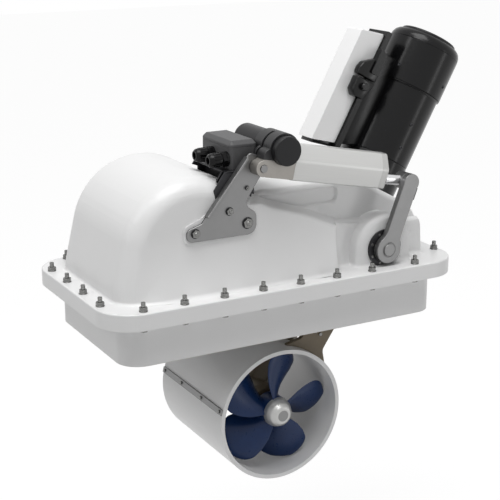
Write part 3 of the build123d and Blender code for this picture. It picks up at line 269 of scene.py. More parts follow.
def swell(vert):
    """A point of the dome's left half goes out from the flat outline towards the arched one."""
    spot = Vector((vert.co.x, vert.co.z)) - dome_centre
    angle = atan2(spot.y, spot.x)
    if -1.2 < angle < 0.1:
        return
    flat = outline_reach(flat_top, flat_rounds, angle)
    growth = outline_reach(arched, arched_rounds, angle) - flat
    growth *= smooth_step(vert.co.z, 0.0, 0.03) * smooth_step(-vert.co.x, -0.01, 0.05)
    growth *= smooth_step(spot.length / flat, 0.35, 0.95)
    spot = dome_centre + spot.normalized() * (spot.length + growth)
    vert.co.x, vert.co.z = spot


def flare(vert):
    """A point low on the dome's front goes forward, most at the flange."""
    x, y, z = vert.co
    foot = ((flare_height - z) / flare_height) ** 2
    side = smooth_step(x, -0.345, -0.25) * (1 - smooth_step(x, 0.09, 0.15))
    vert.co.y -= flare_reach * foot * side * smooth_step(-y, 0.09, 0.135)


def round_dome(piece):
    """The dome's left half swells into one big arc, and its front foot flares outwards."""
    work = bmesh.new()
    work.from_mesh(piece.data)
    for i in range(1, slices + 1):
        slice_front(work, (0, 0, level_step * i), (0, 0, 1))
        slice_front(work, (upright_start + upright_step * i, 0, 0), (1, 0, 0))
    for vert in work.verts:
        if vert.co.z >= 0.001 and vert.co.x <= 0.02:
            swell(vert)
    for vert in work.verts:
        x, y, z = vert.co
        if -0.0005 < z < flare_height and y < -0.09 and (z > 0.001 or y > foot_line):
            flare(vert)
    work.to_mesh(piece.data)
    work.free()


round_dome(shell)

# The lower moulding is bonded into the hull. It has a thick base flange and a straight box,
# in the same gelcoat, with a trimmed edge left by the saw along the bottom of the box.
hull_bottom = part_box("hull_base")[0].z
hull_gelcoat = Finish("hull_gelcoat", (0.76, 0.76, 0.76), 0.38)
trimmed = hull_gelcoat.node(
    "ShaderNodeSeparateXYZ", {}, {"Vector": hull_gelcoat.place}, "Z") < hull_bottom + 0.0004
fibre = hull_gelcoat.mottle(0.004, 4.0)
hull_gelcoat.drive("Base Color", hull_gelcoat.between(
    trimmed, hull_gelcoat.shades(hull_gelcoat.mottle(0.08), 0.015), (0.52, 0.50, 0.43)))
hull_gelcoat.drive("Roughness", 0.34 + fibre * 0.07 + trimmed * 0.3)
hull_gelcoat.relief(hull_gelcoat.mottle(0.05, 1.0) + trimmed * fibre, 0.0002)
skin("hull_base", hull_gelcoat, crease=24)

# The gasket is black nitrile rubber, cut from sheet and squeezed between the two flanges. The
# seal on the propeller's shaft is moulded from the same rubber.
rubber = Finish("black_rubber", (0.022, 0.022, 0.023), 0.62)
rubber.drive("Roughness", 0.55 + rubber.mottle(0.002) * 0.2)
rubber.relief(rubber.mottle(0.0006, 2.0), 0.00005)
skin("flange_gasket", rubber)
skin("shaft_seal", rubber, edge=0.0004)

# The flange is held by stainless bolts, each with a washer and a nut on top. They are cold
# formed and tumbled, so the hexagons are chamfered and the metal is a dull grey.
fastener = Finish("tumbled_stainless", (0.20, 0.20, 0.195), 0.22, Metallic=1.0)
fastener.drive("Base Color", fastener.shades(fastener.mottle(0.003), 0.12))
fastener.drive("Roughness", 0.16 + fastener.mottle(0.0015) * 0.18)
fastener.relief(fastener.mottle(0.0008), 0.00003)
for node in ("flange_bolts", "flange_washers"):
    skin(node, fastener, edge=0.0006)


def loose_parts(node):
    """The lowest and highest corner of each separate solid in a CAD node."""
    work = welded(node)
    left = set(work.verts)
    boxes = []
    while left:
        solid, waiting = set(), [left.pop()]
        while waiting:
            vert = waiting.pop()
            solid.add(vert)
            fresh = [e.other_vert(vert) for e in vert.link_edges if e.other_vert(vert) in left]
            left.difference_update(fresh)
            waiting.extend(fresh)
        corners = [v.co for v in solid]
        boxes.append((Vector([min(c[i] for c in corners) for i in range(3)]),
                      Vector([max(c[i] for c in corners) for i in range(3)])))
    work.free()
    return sorted(boxes, key=lambda box: tuple(box[0]))


def add(work, part, at):
    """A finished part goes into the work at a place."""
    bmesh.ops.transform(part, matrix=at, verts=part.verts)
    carried = bpy.data.meshes.new("carried")
    part.to_mesh(carried)
    part.free()
    work.from_mesh(carried)
    bpy.data.meshes.remove(carried)


def lathe(work, profile, steps, at):
    """A profile of (radius, height) turned round Z, then put in its place."""
    part = bmesh.new()
    verts = [part.verts.new((radius, 0, height)) for radius, height in profile]
    edges = [part.edges.new(pair) for pair in zip(verts, verts[1:])]
    bmesh.ops.spin(part, geom=verts + edges, angle=2 * pi, steps=steps, axis=(0, 0, 1),
                   cent=(0, 0, 0), use_merge=True)
    bmesh.ops.remove_doubles(part, verts=part.verts, dist=1e-6)
    bmesh.ops.recalc_face_normals(part, faces=part.faces)
    add(work, part, at)


def hexagon(work, across, low, high, at, turn=0.0):
    """A hexagonal nut or head between two heights, with the usual chamfered corners."""
    part = bmesh.new()
    corner, chamfer, flat = across / 3 ** 0.5, radians(30), across * 0.47
    bmesh.ops.create_cone(part, cap_ends=True, segments=6, radius1=corner, radius2=corner,
                          depth=high - low)
    bmesh.ops.translate(part, vec=(0, 0, (low + high) / 2), verts=part.verts)
    for step in range(12):
        angle = 2 * pi / 12 * step
        way = Vector((cos(angle) * sin(chamfer), sin(angle) * sin(chamfer), cos(chamfer)))
        rim = Vector((cos(angle) * flat, sin(angle) * flat, high))
        everything = part.verts[:] + part.edges[:] + part.faces[:]
        cut = bmesh.ops.bisect_plane(part, geom=everything, dist=1e-6, plane_co=rim, plane_no=way,
                                     clear_outer=True)["geom_cut"]
        bmesh.ops.holes_fill(part, edges=[e for e in cut if isinstance(e, bmesh.types.BMEdge)])
    bmesh.ops.transform(part, matrix=Matrix.Rotation(turn, 4, "Z"), verts=part.verts)
    add(work, part, at)


def made(name, work, finish, body, *stands_for, crease=30, edge=0.0, like=None):
    """The worked mesh as one finished piece in the given finish. The argument like is not used."""
    mesh = bpy.data.meshes.new(name)
    work.to_mesh(mesh)
    work.free()
    mesh.shade_smooth()
    mesh.set_sharp_from_angle(angle=radians(crease))
    piece = bpy.data.objects.new(name, mesh)
    bpy.context.scene.collection.objects.link(piece)
    if edge:
        soften(piece, edge, crease)
    return settle(piece, finish, body, *stands_for)


# The M8 nuts are run down until the bolts stand some turns of thread out of them, and each
# stops at its own angle. The bolts have a coarse thread and a rounded end.
work = bmesh.new()
for count, (low, high) in enumerate(loose_parts("flange_nuts")):
    middle = (low + high) / 2
    at = Matrix.Translation((middle.x, middle.y, 0))
    hexagon(work, 0.0135, low.z, high.z, at, radians(17 * (-count % 7)))
made("flange_nuts_hex", work, fastener, "housing", "flange_nuts", crease=20, edge=0.0002)
thread_pitch, crest, root = 0.00125, 0.0041, 0.0035
thread = [(0.0, 0.0174), (0.0024, 0.0172), (0.0034, 0.0164)]
for turn in range(6):
    thread += [(crest, 0.01585 - thread_pitch * turn), (root, 0.01522 - thread_pitch * turn)]
thread += [(crest, 0.0082)]
work = bmesh.new()
for low, high in loose_parts("flange_bolts"):
    middle = (low + high) / 2
    lathe(work, thread, 16, Matrix.Translation((middle.x, middle.y, 0)))
made("flange_bolt_threads", work, fastener, "housing", crease=50, like="flange_bolts")
for node in ("bearing_screws", "leg_screws"):
    skin(node, fastener, edge=0.0005)

# The bracket and crank are cut from stainless plate and the pins and eye turned from bar. They
# are blasted to an even satin grey, and their edges are broken by hand.
blasted = Finish("blasted_stainless", (0.225, 0.225, 0.225), 0.34, Metallic=1.0)
speck = blasted.mottle(0.0007, 2.0)
blasted.drive("Base Color", blasted.shades(blasted.mottle(0.02, 4.0) * 0.6 + speck * 0.4, 0.09))
blasted.drive("Roughness", 0.33 + speck * 0.1 + blasted.mottle(0.012) * 0.08)
blasted.relief(speck, 0.00003)
for node in ("actuator_bracket", "crank_arm"):
    skin(node, blasted, edge=0.0009)
for node in ("bracket_pin", "crank_cap", "rod_eye", "rod_pin", "swing_shafts"):
    skin(node, blasted, edge=0.0005)

# Four hexagon screws hold the bracket to pads on the housing, each on a washer. The washers
# are blackened against rust, dark and a little oily.
blackened = Finish("blackened_steel", (0.035, 0.035, 0.038), 0.38, Metallic=0.8)
blackened.drive("Base Color", blackened.shades(blackened.mottle(0.006), 0.25))
blackened.drive("Roughness", 0.3 + blackened.mottle(0.003) * 0.2)
washer_thick = 0.0014
screw_work, washer_work = bmesh.new(), bmesh.new()
for low, high in loose_parts("bracket_screws"):
    radius, depth = (high.x - low.x) / 2, high.y - low.y
    stem, bore = radius * 0.42, radius * 0.40
    middle = (low + high) / 2
    at = Matrix.Translation((middle.x, high.y, middle.z)) @ Matrix.Rotation(pi / 2, 4, "X")
    hexagon(screw_work, radius * 1.55, 0.0012, depth + 0.0008, at, radians(11))
    lathe(screw_work, [(0.0, depth + 0.0026), (radius * 0.34, depth + 0.0022),
                       (stem, depth + 0.0012), (stem, 0.0)], 24, at)
    lathe(washer_work, [(bore, 0.0), (radius, 0.0), (radius, 0.0010), (radius * 0.94, washer_thick),
                        (bore, washer_thick), (bore, 0.0)], 36, at)
made("bracket_hex_screws", screw_work, fastener, "housing", "bracket_screws", crease=22)
made("bracket_washers", washer_work, blackened, "housing", like="flange_washers")

# The actuator's rod is stainless bar, ground and polished so that it slides through its wiper.
# The grinding leaves a very fine relief.
polished = Finish("polished_rod", (0.66, 0.66, 0.67), 0.16, Metallic=1.0)
polished.drive("Roughness", 0.12 + polished.mottle(0.004, 3.0) * 0.1)
polished.relief(polished.mottle(0.0006, 2.0), 0.00001)
skin("actuator_rod", polished, edge=0.0006)

# The discs that close the two swing bearings, the crank's switch flag and the control box's
# stays are blackened steel too, as the washers are.
for node in ("bearing_flanges", "crank_flag", "control_box_support"):
    skin(node, blackened, edge=0.0006)

# The swing shafts turn in plain bushes inside the bearing discs. The bushes are turned from
# bronze bar.
bronze = Finish("bronze_bush", (0.50, 0.33, 0.16), 0.35, Metallic=1.0)
bronze.drive("Base Color", bronze.shades(bronze.mottle(0.005), 0.15))
skin("bearing_bushes", bronze, edge=0.0003)

# The motor is two steel cans painted satin black, between a cast foot and a cast end with a
# flat lid. The controller's plate and arms have the same paint, and the actuator's motor has the
# lid's greyer black.
motor_paint = Finish("motor_black", (0.004, 0.004, 0.0044), 0.24, Specular_IOR_Level=0.24)
motor_paint.drive("Base Color", motor_paint.shades(motor_paint.mottle(0.03), 0.15))
motor_paint.drive("Roughness", 0.19 + motor_paint.mottle(0.008) * 0.07)
motor_paint.relief(motor_paint.mottle(0.0018, 2.0), 0.00003)
for node in ("motor_mount", "motor_can", "motor_upper_can", "motor_end_cap"):
    skin(node, motor_paint, edge=0.0008, crease=25)
for node in ("controller_base", "controller_brackets"):
    skin(node, motor_paint, edge=0.0008)
lid_paint = Finish("lid_grey_black", (0.012, 0.012, 0.0130), 0.34, Specular_IOR_Level=0.24)
lid_paint.drive("Roughness", 0.32 + lid_paint.mottle(0.004) * 0.1)
for node in ("motor_lid", "actuator_motor_front", "actuator_motor_can"):
    skin(node, lid_paint, edge=0.0008)

# Blackened button-head screws hold the motor's cans in three rings, four in each. Places on
# the motor are given along its own axis, which starts at the swing axis and leans back.
joints = {joint["name"]: joint for joint in frame["joints"]}
motor_lean = radians(28.7)
motor_place = Matrix.Translation(joints["motor_spin"]["pos_m"]) @ Matrix.Rotation(motor_lean, 4, "Y")
button = [(0.0, 0.0004), (0.0014, 0.0004), (0.0016, 0.0014), (0.0026, 0.0016), (0.0036, 0.0008),
          (0.0039, -0.0010)]
work = bmesh.new()
for height, radius, first in ((0.2463, 0.0705, -91), (0.1962, 0.0705, -91), (0.345, 0.0740, -61)):
    for quarter in range(4):
        at = (motor_place @ Matrix.Rotation(radians(first + 90 * quarter), 4, "Z")
              @ Matrix.Translation((radius, 0, height)) @ Matrix.Rotation(pi / 2, 4, "Y"))
        lathe(work, button, 20, at)
made("motor_screws", work, blackened, "housing", crease=40, like="bearing_screws")

# Inside the motor a wound drum turns in a ring of magnets, both varnished. The bearings, the
# shafts, the coupling and the bevel gears down to the propeller are machined steel.
winding = Finish("varnished_winding", (0.30, 0.13, 0.05), 0.45, Metallic=0.4)
winding.drive("Base Color", winding.shades(winding.mottle(0.003, stretch=(1, 1, 12)), 0.4))
for node in ("motor_armature", "motor_magnets"):
    skin(node, winding)
machined = Finish("machined_steel", (0.45, 0.45, 0.46), 0.30, Metallic=1.0)
machined.drive("Roughness", 0.22 + machined.mottle(0.002) * 0.18)
machined.drive("Base Color", machined.shades(machined.mottle(0.01), 0.1))
for node in ("motor_bearings", "motor_shaft", "coupling_cup", "coupling_ball", "drive_shaft",
             "leg_bearings", "propeller_shaft", "pinion_gear", "crown_gear"):
    skin(node, machined, edge=0.0003)

# The motor's controller sits under a cover folded from sheet, with a white powder coat. The
# cover's lower end is 13 mm longer than the solid's.
powder = Finish("white_powder", (0.90, 0.90, 0.90), 0.42)
powder.drive("Roughness", 0.36 + powder.mottle(0.003) * 0.1)
powder.relief(powder.mottle(0.0011, 2.0), 0.00005)
cover = skin("controller_cover", powder, edge=0.0012)
cover_middle, longer = 0.190, motor_place.to_3x3() @ Vector((0, 0, -0.013))
for vert in cover.data.vertices:
    if (motor_place.inverted() @ vert.co).z < cover_middle:
        vert.co += longer

# A black moulded saddle holds the controller's plate to the motor. Its plugs and the foot of
# its plate are moulded in a glossier black and stick out in front.
gloss_black = Finish("gloss_black_moulding", (0.003, 0.003, 0.0033), 0.16, Specular_IOR_Level=0.30)
gloss_black.drive("Roughness", 0.13 + gloss_black.mottle(0.004) * 0.1)


def moulded_block(work, outline, front, rear, place, edge=0.003):
    """An outline in the side view as a block between two values of Y, with rounded edges."""
    part = bmesh.new()
    face = part.faces.new([part.verts.new((x, front, z)) for x, z in outline])
    grown = bmesh.ops.extrude_face_region(part, geom=[face])["geom"]
    bmesh.ops.translate(part, vec=(0, rear - front, 0),
                        verts=[v for v in grown if isinstance(v, bmesh.types.BMVert)])
    bmesh.ops.recalc_face_normals(part, faces=part.faces)
    bmesh.ops.bevel(part, geom=part.edges[:], offset=edge, offset_type="OFFSET", affect="EDGES",
                    segments=3, profile=0.5, material=-1)
    add(work, part, place)


saddle = [(-0.109, 0.150), (-0.064, 0.165), (-0.064, 0.352), (-0.109, 0.352)]
work = bmesh.new()
moulded_block(work, saddle, -0.024, 0.024, motor_place)
made("controller_saddle", work, motor_paint, "housing", like="controller_brackets")
upper_plug = [(-0.104, 0.353), (-0.122, 0.331), (-0.149, 0.312), (-0.153, 0.300),
              (-0.152, 0.287), (-0.104, 0.287)]
lower_plug = [(-0.150, 0.283), (-0.150, 0.254), (-0.139, 0.244), (-0.118, 0.245),
              (-0.110, 0.271), (-0.106, 0.283)]
plug_nose = [(0.0, 0.0), (0.008, 0.0), (0.008, 0.010), (0.0065, 0.0125), (0.0, 0.0125)]
plate_foot = [(-0.112, 0.140), (-0.168, 0.128), (-0.168, 0.138), (-0.112, 0.150)]
work = bmesh.new()
moulded_block(work, upper_plug, -0.043, -0.026, motor_place)
moulded_block(work, lower_plug, -0.048, -0.026, motor_place)
at = motor_place @ Matrix.Translation((-0.131, -0.046, 0.268)) @ Matrix.Rotation(pi / 2, 4, "X")
lathe(work, plug_nose, 24, at)
moulded_block(work, plate_foot, -0.020, 0.020, motor_place, edge=0.002)
made("controller_plugs", work, gloss_black, "housing", like="controller_base")

# The control box stands on a folded black plate behind the bracket: a stay in front, a bar
# across under the box and a stay behind. The black block on the dome under the box is painted
# shade: a dark filler in the gap where the part shows only shadow.
front_stay = [(-0.128, 0.2185), (-0.150, 0.187), (-0.145, 0.160), (-0.112, 0.160), (-0.092, 0.2185)]
cross_bar = [(-0.126, 0.2150), (-0.094, 0.2150), (-0.094, 0.2188), (-0.126, 0.2188)]
rear_stay = [(-0.122, 0.2185), (-0.122, 0.188), (-0.098, 0.180), (-0.098, 0.2185)]
# The block on the dome is painted shade, a dark filler standing for the shadow under the box.
painted_shade_block = [(-0.109, 0.2155), (-0.109, 0.193), (-0.060, 0.167), (-0.060, 0.2155)]
work = bmesh.new()
for outline, front, rear, edge in (
        (front_stay, -0.1433, -0.1395, 0.0012), (cross_bar, -0.1433, -0.0220, 0.0010),
        (rear_stay, -0.0262, -0.0222, 0.0010), (painted_shade_block, -0.1300, -0.0262, 0.0020)):
    moulded_block(work, outline, front, rear, Matrix.Identity(4), edge)
made("control_box_plate_and_shade_block", work, blackened, "housing", like="control_box_support")

# The actuator's tube is extruded aluminium with a satin anodised skin, drawn lines along it
# and a six-sided section. Places on the actuator start at its hinge, with X along the rod.
anodised = Finish("anodised_tube", (0.60, 0.60, 0.59), 0.38, Metallic=0.55)
actuator_lean = radians(11.07)
drawn = anodised.mottle(0.0012, turn=(0, actuator_lean, 0), stretch=(60, 1, 1))
anodised.drive("Base Color", anodised.shades(drawn, 0.05))
anodised.drive("Roughness", 0.32 + drawn * 0.12)
hinge = joints["actuator_tilt"]["pos_m"]
actuator_place = Matrix.Translation(hinge) @ Matrix.Rotation(actuator_lean, 4, "Y")
tube_section = [(-0.011, 0.049), (0.011, 0.049), (0.027, 0.020), (0.020, -0.018), (-0.020, -0.018),
                (-0.027, 0.020)]
section_centre = Vector((0, 0.0155))
tube_start, tube_end, cap_end = 0.067, 0.262, 0.275


def section_bar(start, end, inset=0.0, bevel=0.004):
    """The tube's six-sided section as a bar along the rod, with rounded corners."""
    work = bmesh.new()
    verts = []
    for corner in tube_section:
        y, z = Vector(corner) - (Vector(corner) - section_centre).normalized() * inset
        verts.append(work.verts.new((start, y, z)))
    face = work.faces.new(verts)
    grown = bmesh.ops.extrude_face_region(work, geom=[face])["geom"]
    bmesh.ops.translate(work, vec=(end - start, 0, 0),
                        verts=[v for v in grown if isinstance(v, bmesh.types.BMVert)])
    bmesh.ops.recalc_face_normals(work, faces=work.faces)
    lengthwise = [e for e in work.edges
                  if abs(e.verts[0].co.x - e.verts[1].co.x) > 0.5 * (end - start)]
    bmesh.ops.bevel(work, geom=lengthwise, offset=bevel, offset_type="OFFSET", affect="EDGES",
                    segments=5, profile=0.5, material=-1)
    return work


work = section_bar(tube_start, tube_end)
bmesh.ops.transform(work, matrix=actuator_place, verts=work.verts)
made("tube_extrusion", work, anodised, "actuator", "actuator_tube", edge=0.0005)

# The actuator's gearbox and the seat of its tube are zinc castings, warm grey and grainy. The
# gearbox is painted black on top and draws in where the tube is seated.
casting = Finish("cast_grey", (0.31, 0.295, 0.275), 0.30, Metallic=0.9)
grain = casting.mottle(0.0014, 4.0)
on_actuator = casting.laid(at=hinge, turn=(0, actuator_lean, 0))
paint_line = 0.0165
painted = casting.node("ShaderNodeSeparateXYZ", {}, {"Vector": on_actuator}, "Z") > paint_line
casting.drive("Base Color", casting.between(
    painted, casting.shades(casting.mottle(0.012) * 0.5 + grain * 0.5, 0.16), (0.012, 0.012, 0.013)))
casting.drive("Metallic", 0.9 - painted * 0.9)
casting.drive("Roughness", 0.4 + grain * 0.18)
casting.relief(grain, 0.0001)
gearbox = skin("actuator_gearbox", casting, edge=0.0010)
shoulder, drawn_in = 0.058, 0.4
for vert in gearbox.data.vertices:
    spot = actuator_place.inverted() @ vert.co
    if spot.x > shoulder:
        spot.x = shoulder + (spot.x - shoulder) * drawn_in
        vert.co = actuator_place @ spot
work = section_bar(0.0640, 0.0675, inset=0.0015, bevel=0.003)
bmesh.ops.transform(work, matrix=actuator_place, verts=work.verts)
made("tube_seat", work, casting, "actuator", "actuator_flange", edge=0.0010)

# The tube's end cap is die-cast and lighter, with a raised face. A rubber wiper in it keeps
# dirt off the rod. The gear between the actuator's motor and gearbox is machined steel.
cap_finish = Finish("cast_end_cap", (0.50, 0.50, 0.49), 0.30, Metallic=0.6)
cap_finish.drive("Base Color", cap_finish.shades(cap_finish.mottle(0.002), 0.08))
cap_finish.drive("Roughness", 0.3 + cap_finish.mottle(0.004) * 0.15)
work = section_bar(tube_end, cap_end)
raised = [f for f in work.faces if f.calc_center_median().x > cap_end - 0.0005]
bmesh.ops.inset_region(work, faces=raised, thickness=0.004, depth=0.0)
bmesh.ops.translate(work, vec=(0.0035, 0, 0), verts=list({v for f in raised for v in f.verts}))
bmesh.ops.transform(work, matrix=actuator_place, verts=work.verts)
made("tube_end_cap", work, cap_finish, "actuator", "actuator_end_cap", edge=0.0005)
wiper = [(0.0, 0.2750), (0.0180, 0.2750), (0.0180, 0.2800), (0.0165, 0.2815), (0.0115, 0.2815),
         (0.0108, 0.2790)]
work = bmesh.new()
lathe(work, wiper, 40, actuator_place @ Matrix.Rotation(pi / 2, 4, "Y"))
made("rod_wiper", work, rubber, "actuator", like="flange_gasket")
skin("actuator_motor_gear", machined, edge=0.0006)

# The control box and its lid are moulded in dark grey plastic with a fine grain. The box
# stands on its blackened tray.
box_plastic = Finish("dark_grey_plastic", (0.075, 0.075, 0.077), 0.46, Specular_IOR_Level=0.35)
box_plastic.drive("Roughness", 0.44 + box_plastic.mottle(0.0015) * 0.14)
box_plastic.relief(box_plastic.mottle(0.0007, 2.0), 0.00005)
for node in ("control_box", "control_box_lid"):
    skin(node, box_plastic, edge=0.0012)

# Two glossy black nylon glands are screwed into the control box for its cables, each with a
# collar, a hexagon and a ribbed cap.
gland_plastic = Finish("black_nylon", (0.003, 0.003, 0.0033), 0.22, Specular_IOR_Level=0.20)
gland_plastic.drive("Roughness", 0.17 + gland_plastic.mottle(0.002) * 0.1)
collar = [(0.0100, 0.0), (0.0140, 0.0), (0.0140, 0.0045), (0.0100, 0.0045), (0.0100, 0.0)]
gland_cap = [(0.0065, 0.0120), (0.0118, 0.0120), (0.0128, 0.0150), (0.0128, 0.0290),
             (0.0118, 0.0345), (0.0088, 0.0378), (0.0066, 0.0378), (0.0060, 0.0360),
             (0.0065, 0.0120)]
gland_ribs, rib_circle = 14, 0.0127
work = bmesh.new()
for low, high in loose_parts("cable_glands"):
    middle = (low + high) / 2
    at = Matrix.Translation((high.x, middle.y, middle.z)) @ Matrix.Rotation(-pi / 2, 4, "Y")
    hexagon(work, 0.0255, 0.0045, 0.0125, at)
    lathe(work, collar, 32, at)
    lathe(work, gland_cap, 40, at)
    for rib in range(gland_ribs):
        angle = 2 * pi * rib / gland_ribs
        rail = bmesh.new()
        bmesh.ops.create_cone(rail, cap_ends=True, segments=6, radius1=0.0011, radius2=0.0008,
                              depth=0.013)
        spot = Vector((cos(angle) * rib_circle, sin(angle) * rib_circle, 0.0222))
        add(work, rail, at @ Matrix.Translation(spot))
made("glands", work, gland_plastic, "housing", "cable_glands", crease=35)

# The leg has two cheeks, a stem and the bridges that join them, and carries the gearcase. All
# of it has a khaki-brown epoxy paint with a slight orange peel.
epoxy = Finish("khaki_epoxy", (0.150, 0.118, 0.075), 0.45)
epoxy.drive("Base Color", epoxy.shades(epoxy.mottle(0.025, 4.0), 0.10))
epoxy.drive("Roughness", 0.40 + epoxy.mottle(0.004) * 0.12)
epoxy.relief(epoxy.mottle(0.0015, 3.0), 0.00006)
for node in ("leg_cheeks", "leg_stem", "leg_bridges"):
    skin(node, epoxy, edge=0.0010)
for node in ("gearcase", "gearcase_cap"):
    skin(node, epoxy, edge=0.0008)

# The tunnel is a glass-fibre ring in white gelcoat outside and in, with a blasted stainless
# strip along its side.
tunnel_gelcoat = Finish("tunnel_gelcoat", (0.74, 0.74, 0.74), 0.36)
tunnel_gelcoat.drive("Base Color", tunnel_gelcoat.shades(tunnel_gelcoat.mottle(0.07), 0.02))
tunnel_gelcoat.drive("Roughness", 0.32 + tunnel_gelcoat.mottle(0.02) * 0.08)
tunnel_gelcoat.relief(tunnel_gelcoat.mottle(0.05, 1.0), 0.0002)
skin("tunnel_ring", tunnel_gelcoat, edge=0.0015)
skin("tunnel_strip", blasted, edge=0.0005)

# The propeller is moulded in one piece in glossy navy composite: five twisted, cupped blades
# with thin rounded edges on a hub.
navy = Finish("navy_composite", (0.007, 0.025, 0.090), 0.30, Specular_IOR_Level=0.25)
navy.drive("Base Color", navy.shades(navy.mottle(0.02), 0.15))
navy.drive("Roughness", 0.24 + navy.mottle(0.005) * 0.1)
nose_low, nose_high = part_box("nose_cone")
hub_line = Vector(((nose_low.x + nose_high.x) / 2, 0, (nose_low.z + nose_high.z) / 2))
root_radius, blade_length, round_from, round_length = 0.018, 0.1025, 0.094, 0.0268
pitch, cup, widest, blade_line, blade_steps = 0.300, 0.004, 0.098, -0.092, 26
# Each station of a blade is its radius, chord, thickness and skew.
stations = ((0.018, 0.040, 0.0100, -0.002), (0.040, 0.062, 0.0080, 0.002),
            (0.060, 0.084, 0.0066, 0.007), (0.082, widest, 0.0052, 0.011),
            (0.102, widest, 0.0040, 0.012), (0.114, 0.090, 0.0032, 0.009),
            (0.1205, 0.078, 0.0026, 0.006))


def blade_at(radius):
    """The chord, thickness and skew of a blade at a radius."""
    for (inner, *first), (outer, *second) in zip(stations, stations[1:]):
        if radius <= outer:
            share = (radius - inner) / (outer - inner)
            return [a + (b - a) * share for a, b in zip(first, second)]
    return stations[-1][1:]


def blade(work, turn):
    """A twisted, cupped blade with a thin rounded edge, on the hub at an angle."""
    bar = bmesh.new()
    bmesh.ops.create_cone(bar, cap_ends=True, segments=48, radius1=1, radius2=1, depth=1)
    for step in range(1, blade_steps):
        cut = (0, 0, sin(pi / 2 * step / blade_steps) - 0.5)
        bmesh.ops.bisect_plane(bar, geom=bar.verts[:] + bar.edges[:] + bar.faces[:], dist=1e-6,
                               plane_co=cut, plane_no=(0, 0, 1))
    for vert in bar.verts:
        radius = root_radius + (vert.co.z + 0.5) * blade_length
        chord, thick, skew = blade_at(radius)
        tip = max(0.0, (radius - round_from) / round_length)
        chord *= max(0.05, 1 - tip ** 2.6) ** 0.5
        hollow = cup * (2 * vert.co.x ** 2 - 1) * (chord / widest)
        side, off = vert.co.x * chord / 2 + skew, vert.co.y * thick / 2 + hollow
        twist = atan2(pitch, 2 * pi * radius)
        around = (side * cos(twist) - off * sin(twist)) / radius
        along = side * sin(twist) + off * cos(twist)
        vert.co = (radius * sin(around), blade_line + along, radius * cos(around))
    bmesh.ops.recalc_face_normals(bar, faces=bar.faces)
    add(work, bar, Matrix.Rotation(turn, 4, "Y"))


blade_count, first_turn = 5, radians(11)
work = bmesh.new()
for i in range(blade_count):
    blade(work, 2 * pi / blade_count * i + first_turn)
hub = [(0.0081, 0.072), (0.0265, 0.072), (0.0290, 0.0745), (0.0295, 0.080), (0.0295, 0.1095),
       (0.0081, 0.1095), (0.0081, 0.072)]
lathe(work, hub, 64, Matrix.Rotation(pi / 2, 4, "X"))
bmesh.ops.translate(work, vec=hub_line, verts=work.verts)
made("propeller_moulding", work, navy, "propeller", "propeller", crease=40)

# The silver nose is turned and closes the front of the hub, and its tip has a plain turned
# plug of darker metal.
silver = Finish("silver_nose", (0.50, 0.50, 0.49), 0.34, Metallic=0.7)
silver.drive("Roughness", 0.3 + silver.mottle(0.002) * 0.1)
skin("nose_cone", silver, edge=0.0006)
plug_finish = Finish("turned_plug", (0.24, 0.24, 0.24), 0.34, Metallic=0.8)
plug_finish.drive("Roughness", 0.28 + plug_finish.mottle(0.002) * 0.14)
plug = [(0.0, 0.1366), (0.0105, 0.1366), (0.0112, 0.1361), (0.0112, 0.1352)]
work = bmesh.new()
lathe(work, plug, 40, Matrix.Translation(hub_line) @ Matrix.Rotation(pi / 2, 4, "X"))
made("nose_plug", work, plug_finish, "propeller", like="nose_cone")

# The studio has a floor of white paper well below the part. Seen straight or in a reflection
# it glows almost white, and elsewhere it is plain paper that takes the part's shadow.
floor_mesh = bpy.data.meshes.new("floor")
floor_drop = 0.30
work = bmesh.new()
bmesh.ops.create_grid(work, x_segments=1, y_segments=1, size=12)
bmesh.ops.translate(work, vec=(0, 0, cad_box[0][2] - floor_drop), verts=work.verts)
work.to_mesh(floor_mesh)
work.free()
floor = bpy.data.objects.new("floor", floor_mesh)
bpy.context.scene.collection.objects.link(floor)
paper = Finish("white_paper", (0.9, 0.9, 0.9), 0.9)
floor_mesh.materials.append(paper.material)
ray_kinds = ("Is Camera Ray", "Is Glossy Ray", "Is Transmission Ray")
straight, *others = [paper.node("ShaderNodeLightPath", {}, {}, kind) for kind in ray_kinds]
for other in others:
    straight = straight.maths("MAXIMUM", straight, other)
glow_strength, glow_share = 1.08, 0.86
glow = paper.node("ShaderNodeEmission", {}, {"Color": (1, 1, 1, 1), "Strength": glow_strength})
blend = paper.node("ShaderNodeMixShader", {}, {0: straight * glow_share, 2: glow})
paper.tree.links.new(paper.surface.outputs[0], blend.socket.node.inputs[1])
paper.tree.links.new(blend.socket, paper.tree.nodes["Material Output"].inputs["Surface"])

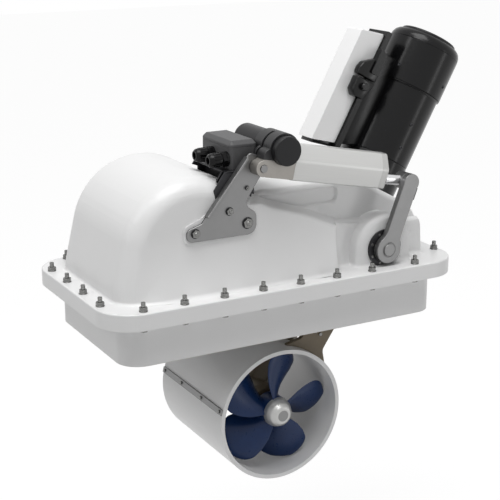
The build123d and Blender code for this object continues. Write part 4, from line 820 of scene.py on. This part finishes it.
# The surround is white where it is seen straight or in a reflection, and lights the part with
# less than a third of that.
world = bpy.data.worlds.new("surround")
bpy.context.scene.world = world
world.use_nodes = True
sky = world.node_tree
backdrop = sky.nodes["Background"]
path = sky.nodes.new("ShaderNodeLightPath")
seen = path.outputs[ray_kinds[0]]
for kind in ray_kinds[1:]:
    either = sky.nodes.new("ShaderNodeMath")
    either.operation = "MAXIMUM"
    sky.links.new(seen, either.inputs[0])
    sky.links.new(path.outputs[kind], either.inputs[1])
    seen = either.outputs[0]
lit_by, seen_as = 0.30, 1.0
strength = sky.nodes.new("ShaderNodeMapRange")
strength.inputs["To Min"].default_value = lit_by
strength.inputs["To Max"].default_value = seen_as
sky.links.new(seen, strength.inputs["Value"])
sky.links.new(strength.outputs["Result"], backdrop.inputs["Strength"])
backdrop.inputs["Color"].default_value = (1, 1, 1, 1)


# A large soft box above lights the part, and two narrow ones draw soft bands on the rounded
# pieces from the left and the right.
def lamp(name, place, aim, size, watts):
    """A soft box, its width and height in size, at a place and facing a point."""
    light = bpy.data.lights.new(name, "AREA")
    light.shape = "RECTANGLE"
    light.size, light.size_y, light.energy = size[0], size[1], watts
    holder = bpy.data.objects.new(name, light)
    holder.location = place
    holder.rotation_euler = (Vector(aim) - Vector(place)).to_track_quat("-Z", "Y").to_euler()
    holder.visible_camera = False
    bpy.context.scene.collection.objects.link(holder)


lamp("key", (-0.4, -0.7, 2.7), (0, 0, 0), (1.8, 1.8), 60)
lamp("left_strip", (-1.95, 0.0, 1.9), (0.3, 0, 0.25), (0.30, 1.3), 7)
lamp("right_strip", (1.9, -2.1, -0.15), (0.3, 0, 0.2), (0.25, 1.6), 5)

# The camera has the photograph's view, from the front left and a little above, with a long
# lens.
lens = bpy.data.cameras.new("view")
lens.lens, lens.sensor_width = 88.62, 36.0
lens.clip_end = 50
viewer = bpy.data.objects.new("view", lens)
viewer.location = (-1.13208, -2.02689, 0.70415)
viewer.rotation_euler = (radians(73.57), 0, radians(-29.26))
bpy.context.scene.collection.objects.link(viewer)
bpy.context.scene.camera = viewer

# Colours are shown as they are written.
bpy.context.scene.view_settings.view_transform = "Standard"
